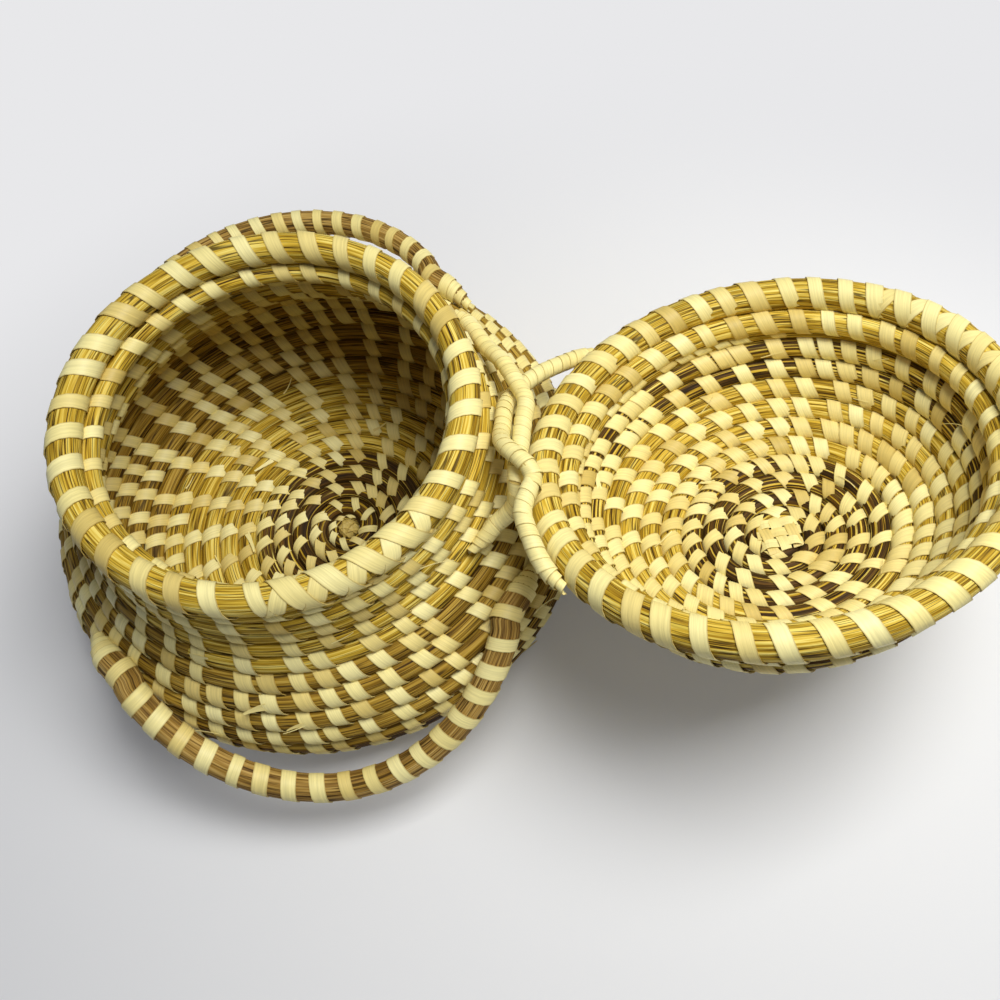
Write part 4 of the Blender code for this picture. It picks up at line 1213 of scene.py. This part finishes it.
@dataclass
class Lid(Coiled):
    """The lid, made shut and then opened on its hinge line."""

    body: Body = Body.LID
    centre_end: float = 44.0 * MM
    crown_end: float = 79.0 * MM
    band_end: float = 96.0 * MM
    end_lead: float = 1.4 * MM
    stitch_spacing: float = 12.4 * MM

    def build(self) -> None:
        """Makes every piece of the wound lid."""
        size = SIZES
        profile = lid_profile()
        pitch = 2 * size.lid_coil + size.gap
        first = size.knot + size.seat_gap + size.lid_coil
        last = (profile.length - pitch + self.end_lead - first) / pitch
        winding = Winding(profile, first, pitch, last, size.shut_height)
        thick = pitch / 2 + self.press
        self.move = size.lid_opened()
        turns = [-0.92, *[winding.turn_at(end) for end in (self.centre_end, self.crown_end, self.band_end)], last + 0.92]
        names = ("lid_centre_coil", "lid_crown_coil", "lid_band_coil", "lid_edge_coil")
        dyes = ((0.8, 0.72, 0.62), (0.2, 0.0, 0.05), (0.4, 0.55, 0.4), (0.12, 0.02))
        slots = (Slot.DYED, Slot.GRASS, Slot.DYED, Slot.GRASS)
        for index, (name, dye, slot) in enumerate(zip(names, dyes, slots)):
            route = winding.route(turns[index], turns[index + 1]).dyed(dye).moved(self.move)
            self.shop.bundle(f"{name}_stems", [route], thick, "grass", self.body, slot, (name,))
        stitches = winding.sewn(-0.3, last + 0.5, self.stitch_spacing, 8.0 * MM, 0.6 * MM, 5)
        for name, low, high, lean, width in (
            ("lid_centre", 0, 1, -8.8, 6.0), ("lid_crown", 1, 2, -7.8, 7.2), ("lid_side", 2, 4, -6.8, 7.4),
        ):
            part = stitches[(stitches >= turns[low]) & (stitches < turns[high])]
            self.sew(f"{name}_stitches", winding, part, thick, lean * MM, width * MM)
        # The knot's strips lean to the dull tones: painted shade in the gaps of the woven start that lies over it
        self.knot("lid_start_knot_strips", np.array([0.0, 0.0, size.shut_height + size.lid_depth]), "lid_start_knot", (0.0, 0.3))
        tails = [(9.26, 0.0, 10 * MM, 0.7 * MM), (9.34, 0.0, 10 * MM, 0.5 * MM)]
        self.loose_ends("lid_loose_ends", winding, tails + self.scattered(winding, 2.0, last - 0.3, 24, 17), thick)
        self.woven_start(
            "lid_start_weave", np.array([0.0, 0.0, size.shut_height + size.lid_depth - 5.1 * MM]),
            (math.radians(70.0), math.radians(170.0)), -1.0,
        )
        heading = profile.heading(profile.length)[0]
        seat = ring_route(size.lid_edge_radius, size.shut_height + size.lid_edge_rise, size.lid_splice + math.pi, tuple(heading))
        seat = seat.moved(self.move)
        self.shop.bundle("lid_seat_stems", [seat], thick, "grass", self.body, Slot.GRASS, ("lid_seat_coil",))
        self.ring_stitches("lid_seat_stitches", seat, thick, 13.0 * MM, 6.4 * MM, -5.4 * MM)
        away = (size.lid_rim_overhang, -size.lid_edge_rise)
        rim = ring_route(size.lid_rim_radius, size.shut_height, size.lid_splice, away).moved(self.move)
        self.shop.bundle("lid_rim_stems", [rim], size.lid_rim_coil + self.press, "grass", self.body, Slot.GRASS, ("lid_rim_coil",), stems=38)
        self.ring_stitches("lid_rim_stitches", rim, size.lid_rim_coil + self.press, 12.8 * MM, 6.9 * MM, -7.4 * MM, (33 * MM, 33 * MM))
        self.crossed_binding("lid_rim_crossed_strips", rim, size.lid_rim_coil, "lid_rim_cross_binding")
        self.carrier = rim.points


def wall_profile() -> Profile:
    """The basket's wall: flat foot, full belly, shoulder, neck."""
    return Profile(np.vstack([[0.0, SIZES.foot], through(np.array(SIZES.wall_line), 60)]))


def lid_profile() -> Profile:
    """The shut lid from the middle of its crown down to its edge, heights above its rim."""
    size = SIZES
    crown, edge = np.array([0.0, size.lid_depth]), np.array([size.lid_edge_radius, size.lid_edge_rise])
    pull = crown + [size.lid_edge_radius * size.lid_shares[0], 0.0]
    push = edge + [0.0, (size.lid_depth - size.lid_edge_rise) * size.lid_shares[1]]
    t = np.linspace(0.0, 1.0, 61)[:, None]
    return Profile(crown * (1 - t) ** 3 + pull * 3 * t * (1 - t) ** 2 + push * 3 * t * t * (1 - t) + edge * t**3)


def wall_seat(profile: Profile, height: float, azimuth: float, stand_off: float) -> np.ndarray:
    """A point outside the wall at this height, its distance measured square to the wall."""
    length = profile.length_at(height)
    heading = profile.heading(length)[0]
    place = profile.at(length)[0] + np.array([heading[1], -heading[0]]) * stand_off
    return polar(place[0], np.array(azimuth), place[1])


def straight_start(points: np.ndarray, length: float) -> np.ndarray:
    """Gives a route a straight first stretch of this length, in line with what follows it."""
    walked, index = 0.0, 0
    while walked < length:
        walked += float(np.linalg.norm(points[index + 1] - points[index]))
        index += 1
    back = unit(points[index] - points[index + 1])
    return np.vstack([points[index] + back * walked, points[index + 1:]])


@dataclass
class Handle:
    """A carrying handle: a sewn bundle, bowed out from the wall and lashed to it at both ends."""

    shop: Workshop
    name: str
    radius: float
    azimuth: float
    spread: float
    end_height: float
    clearance: float
    low_height: float
    tuck: float
    labels: tuple[str, str]
    stitch_spacing: float = 11.6 * MM
    stitch_width: float = 5.6 * MM
    steps: int = 40
    sewn_spread: float = math.radians(11.0)

    def coarse(self) -> np.ndarray:
        """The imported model's own points of the handle."""
        size, profile = SIZES, wall_profile()
        stand_off = size.coil + self.radius + (0.3 + 0.8 + 0.4) * MM - self.tuck
        seat = wall_seat(profile, self.end_height, 0.0, stand_off)
        reach = profile.points[:, 0].max() + size.coil + self.radius + self.clearance
        angle = self.spread * (2 * np.arange(self.steps + 1) / self.steps - 1)
        share = np.clip(1.0 - np.abs(angle) / (self.spread - self.sewn_spread), 0.0, 1.0)
        bow = np.sin(share * math.pi / 2)
        out = seat[0] + (reach - seat[0]) * bow**0.8
        down = seat[2] + (self.low_height - seat[2]) * bow**1.15
        points = polar(out, self.azimuth + angle, down)
        return straight_start(straight_start(points, 12 * MM)[::-1], 12 * MM)[::-1]

    def build(self) -> None:
        """Makes the handle's stems, stitches and lashed ends."""
        points = evenly(through(self.coarse()), 2.4 * MM)
        profile = wall_profile()
        heading = profile.heading(profile.length_at(self.end_height))[0]
        azimuth = np.arctan2(points[:, 1], points[:, 0])
        outward = polar(np.full(len(points), heading[1]), azimuth, np.full(len(points), -heading[0]))
        route = Route(points, outward)
        ends = np.clip(np.minimum(route.run, route.length - route.run) / (17 * MM), 0.0, 1.0)
        girth = 0.34 + 0.66 * np.sin(ends * math.pi / 2)
        points = points - outward * (1 - girth)[:, None] * self.radius * 1.2
        away = unit(points * [1.0, 1.0, 0.0]) * 0.4 + np.array([0.0, 0.0, 1.0])
        route = Route(points, away, girth)
        # The handles' darker grass is painted shade
        self.shop.bundle(f"{self.name}_stems", [route], self.radius, "handle", Body.BASKET, Slot.GRASS, (self.name,), stems=36)
        room = route.length - 30 * MM
        count = round(room / self.stitch_spacing)
        chance = random.Random(count)
        places = 15 * MM + (np.arange(count) + 0.5) * room / count
        places = places + np.array([chance.uniform(-0.8, 0.8) * MM for _ in places])
        spots, turned = route.frames(places)
        self.shop.sewing(
            f"{self.name}_stitches", spots, turned, self.radius + 0.32 * MM, -3.0 * MM, Body.BASKET,
            width=self.stitch_width, start=-90, end=270, steps=12, girth=np.interp(places, route.run, route.girth),
        )
        for label, backwards in zip(self.labels, (False, True)):
            lash_end(self.shop, f"{self.name}_{label}_lashing", route, self.radius, backwards, 4, 3.6 * MM, Body.BASKET)


def lash_end(shop: Workshop, node: str, route: Route, radius: float, backwards: bool, turns: int, pitch: float, body: Body) -> None:
    """Winds strip round one end of a route.

    Args:
        shop: The maker of pieces.
        node: The lashing's node, which names the piece too.
        route: The line whose end is lashed.
        radius: The bundle's radius.
        backwards: Whether it is the line's last end.
        turns: How many turns of strip.
        pitch: The distance between two turns.
        body: What it moves with.
    """
    places = 1.2 * MM + np.arange(turns) * pitch
    if backwards:
        places = route.length - places
    points, turned = route.frames(places)
    shop.sewing(
        f"{node}_strip", points, turned, radius + 0.32 * MM, -pitch / 2, body, (node,), width=pitch * 1.2,
        start=-90, end=270, steps=14, width_spread=0.06, turn_spread=0.05, tilt=0.12 * MM, tones=(0.4, 0.8),
        girth=np.interp(places, route.run, route.girth),
    )


@dataclass
class HingeLoop:
    """One of the two linked hinge loops: a thin bundle wrapped all over with strip, sewn down at both ends."""

    shop: Workshop
    name: str
    points: np.ndarray
    body: Body
    labels: tuple[str, str]
    carrier: np.ndarray
    pitch: float = 4.4 * MM
    steps: int = 44
    lashing: float = 8.0 * MM

    def build(self) -> None:
        """Makes the loop's core, its wrapping and its lashed ends."""
        coarse = evenly(through(self.points, 60), steps=self.steps)
        coarse = straight_start(straight_start(coarse, self.lashing)[::-1], self.lashing)[::-1]
        points = evenly(through(coarse), 1.8 * MM)
        away = np.zeros_like(points) + np.array([0.35, 0.0, 1.0])
        route = Route(points, away)
        radius = SIZES.loop
        ends = np.clip(np.minimum(route.run, route.length - route.run) / (13 * MM), 0.0, 1.0)
        girth = 0.42 + 0.58 * np.sin(ends * math.pi / 2)
        # The thinned ends are pulled in against the coil that carries them
        nearest = np.array([self.carrier[np.argmin(np.linalg.norm(self.carrier - point, axis=1))] for point in points])
        points = points + unit(nearest - points) * (1 - girth)[:, None] * radius * 1.25
        route = Route(points, away, girth)
        self.shop.bundle(f"{self.name}_core", [route], radius - 0.12 * MM, "palmetto", self.body, Slot.PALMETTO, (self.name,), stems=20, relief=0.2 * MM)
        count = int((route.length - 2 * self.lashing) / self.pitch)
        places = self.lashing + (np.arange(count) + 0.5) * (route.length - 2 * self.lashing) / count
        spots, turned = route.frames(places)
        self.shop.sewing(
            f"{self.name}_wrapping", spots, turned, radius + 0.02 * MM, self.pitch / 2, self.body, width=self.pitch * 1.3,
            thickness=0.2 * MM, start=-90, end=270, steps=14, width_spread=0.03, turn_spread=0.03,
            tilt=0.16 * MM, tones=(0.5, 0.85),
        )
        for label, backwards in zip(self.labels, (False, True)):
            lash_end(self.shop, f"{self.name}_{label}_lashing", route, radius, backwards, 3, 3.2 * MM, self.body)


def basket_loop_points() -> np.ndarray:
    """The basket's hinge loop: sewn end, leg, bar on the hinge line, leg, sewn end."""
    size, profile = SIZES, wall_profile()
    stand_off = size.coil + size.loop + (0.3 + 0.8 + 0.4 + 1.4) * MM
    front = wall_seat(profile, 78 * MM, math.radians(-28.0), stand_off)
    bend = wall_seat(profile, 80 * MM, math.radians(-21.0), stand_off)
    back = wall_seat(profile, 80 * MM, math.radians(47.0), stand_off)
    line = size.about_hinge((
        (-26.0, -4.0, -14.0), (-24.2, -0.9, -9.0), (-22.2, 0.0, -3.8), (-18.5, 0.0, 0.0), (-6.0, 0.0, 0.0),
        (6.0, 0.0, 0.0), (16.5, 0.0, 0.0), (24.0, -3.6, 0.0), (30.5, -7.4, 0.0), (37.0, -11.5, -0.5),
        (48.0, -20.0, -4.0),
    ))
    return np.vstack([front, bend, line, back])


def lid_loop_points() -> np.ndarray:
    """The lid's hinge loop, lid open: from the rim under the bar, round behind it, over it, to the rim."""
    return SIZES.about_hinge((
        (62.0, 24.0, -20.0), (56.0, 17.0, -18.2), (48.0, 9.5, -14.2), (41.0, 2.4, -11.8), (34.0, -3.0, -10.2),
        (27.5, -6.4, -8.6), (20.0, -8.1, -5.2), (13.0, -8.2, -1.8), (4.0, -7.6, 0.0), (-3.0, -7.1, 2.6),
        (-9.0, -4.8, 6.0), (-14.0, -0.8, 8.3), (-18.0, 4.0, 8.0), (-21.0, 6.6, 6.6), (-24.0, 7.3, 6.0),
        (-30.0, 6.0, 6.6), (-38.0, 5.0, 6.3), (-47.0, 8.2, 5.0), (-57.0, 13.6, 2.2), (-65.0, 20.6, 1.0),
    ))


# ---------------------------------------------------------------- the studio


@dataclass
class Studio:
    """A plain pale floor, soft lights and the camera at the photograph's view."""

    floor_reach: float = 3.0
    backdrop: str = "#E9E9E9"

    def build(self) -> None:
        """Makes the floor, the lights and the camera."""
        self.floor()
        self.world()
        self.lamp("key_over_lid", (0.36, 0.07, 0.78), 0.40, 7.0, "#FFFFFC")
        self.lamp("left_cool_fill", (-1.2, -0.3, 0.5), 0.9, 1.5, "#9FBDFF")
        self.camera()

    def floor(self) -> None:
        """Makes the floor, one flat face far larger than the view."""
        mesh = bpy.data.meshes.new("studio_floor")
        far = self.floor_reach
        mesh.from_pydata([(-far, -far, 0.0), (far, -far, 0.0), (far, far, 0.0), (-far, far, 0.0)], [], [(0, 1, 2, 3)])
        mesh.materials.append(FloorFinish().make())
        made = bpy.data.objects.new("studio_floor", mesh)
        bpy.context.scene.collection.objects.link(made)

    def world(self) -> None:
        """Lights the scene evenly from all round, and shows the backdrop's colour to the camera."""
        world = bpy.data.worlds.new("studio_world")
        world.use_nodes = True
        tree = world.node_tree
        tree.nodes.clear()
        path = add(tree, "ShaderNodeLightPath")
        room = add(tree, "ShaderNodeBackground", {"Color": linear("#F4F5F6"), "Strength": 0.14})
        seen = add(tree, "ShaderNodeBackground", {"Color": linear(self.backdrop), "Strength": 1.0})
        mixed = add(tree, "ShaderNodeMixShader", {0: path.outputs["Is Camera Ray"], 1: room.outputs[0], 2: seen.outputs[0]})
        add(tree, "ShaderNodeOutputWorld", {"Surface": mixed.outputs[0]})
        bpy.context.scene.world = world

    def lamp(self, name: str, place: tuple[float, float, float], size: float, power: float, colour: str) -> None:
        """Adds one soft lamp that faces the object.

        Args:
            name: The lamp's name.
            place: Where it stands.
            size: Its side.
            power: Its strength in watts.
            colour: Its colour.
        """
        light = bpy.data.lights.new(name, "AREA")
        light.shape = "SQUARE"
        light.size = size
        light.energy = power
        light.color = linear(colour)[:3]
        made = bpy.data.objects.new(name, light)
        made.location = place
        made.rotation_mode = "QUATERNION"
        made.rotation_quaternion = (Vector((0.20, 0.0, 0.06)) - Vector(place)).to_track_quat("-Z", "Y")
        bpy.context.scene.collection.objects.link(made)

    def camera(self) -> None:
        """Sets the camera at the photograph's view."""
        lens = bpy.data.cameras.new("photo_view")
        lens.sensor_fit = "HORIZONTAL"
        lens.sensor_width = 36.0
        lens.lens = 34.36
        lens.shift_x = -0.1208
        lens.shift_y = 0.1076
        lens.clip_start = 0.01
        made = bpy.data.objects.new("photo_view", lens)
        made.matrix_world = Matrix((
            (0.9985, -0.0390, 0.0384, 0.1481),
            (0.0495, 0.9437, -0.3271, -0.1777),
            (-0.0235, 0.3285, 0.9442, 0.4177),
            (0.0, 0.0, 0.0, 1.0),
        ))
        bpy.context.scene.collection.objects.link(made)
        bpy.context.scene.camera = made


def main() -> None:
    """Builds the looks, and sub-assembly by sub-assembly."""
    logging.basicConfig(level=logging.INFO, format="%(message)s")
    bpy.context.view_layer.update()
    bpy.context.scene.view_settings.view_transform = "Standard"
    for old in [item for item in bpy.data.objects if item.name in ("Cube", "Light", "Camera")]:
        bpy.data.objects.remove(old, do_unlink=True)
    shop = Workshop()
    basket, lid = Basket(shop), Lid(shop)
    basket.build()
    lid.build()
    size = SIZES
    Handle(
        shop, "front_handle", size.front_handle, math.radians(-78.0), math.radians(55.5), 58 * MM, 8.8 * MM, 31 * MM,
        0.9 * MM, ("left", "right"),
    ).build()
    Handle(
        shop, "back_handle", size.back_handle, math.radians(107.0), math.radians(52.5), 61 * MM, 11.0 * MM, 64 * MM,
        0.4 * MM, ("right", "left"), stitch_spacing=9.6 * MM, stitch_width=4.8 * MM,
    ).build()
    HingeLoop(shop, "basket_hinge_loop", basket_loop_points(), Body.BASKET, ("front", "back"), basket.carrier).build()
    HingeLoop(shop, "lid_hinge_loop", lid_loop_points(), Body.LID, ("back", "front"), lid.carrier).build()
    Studio().build()


if __name__ == "__main__":
    main()
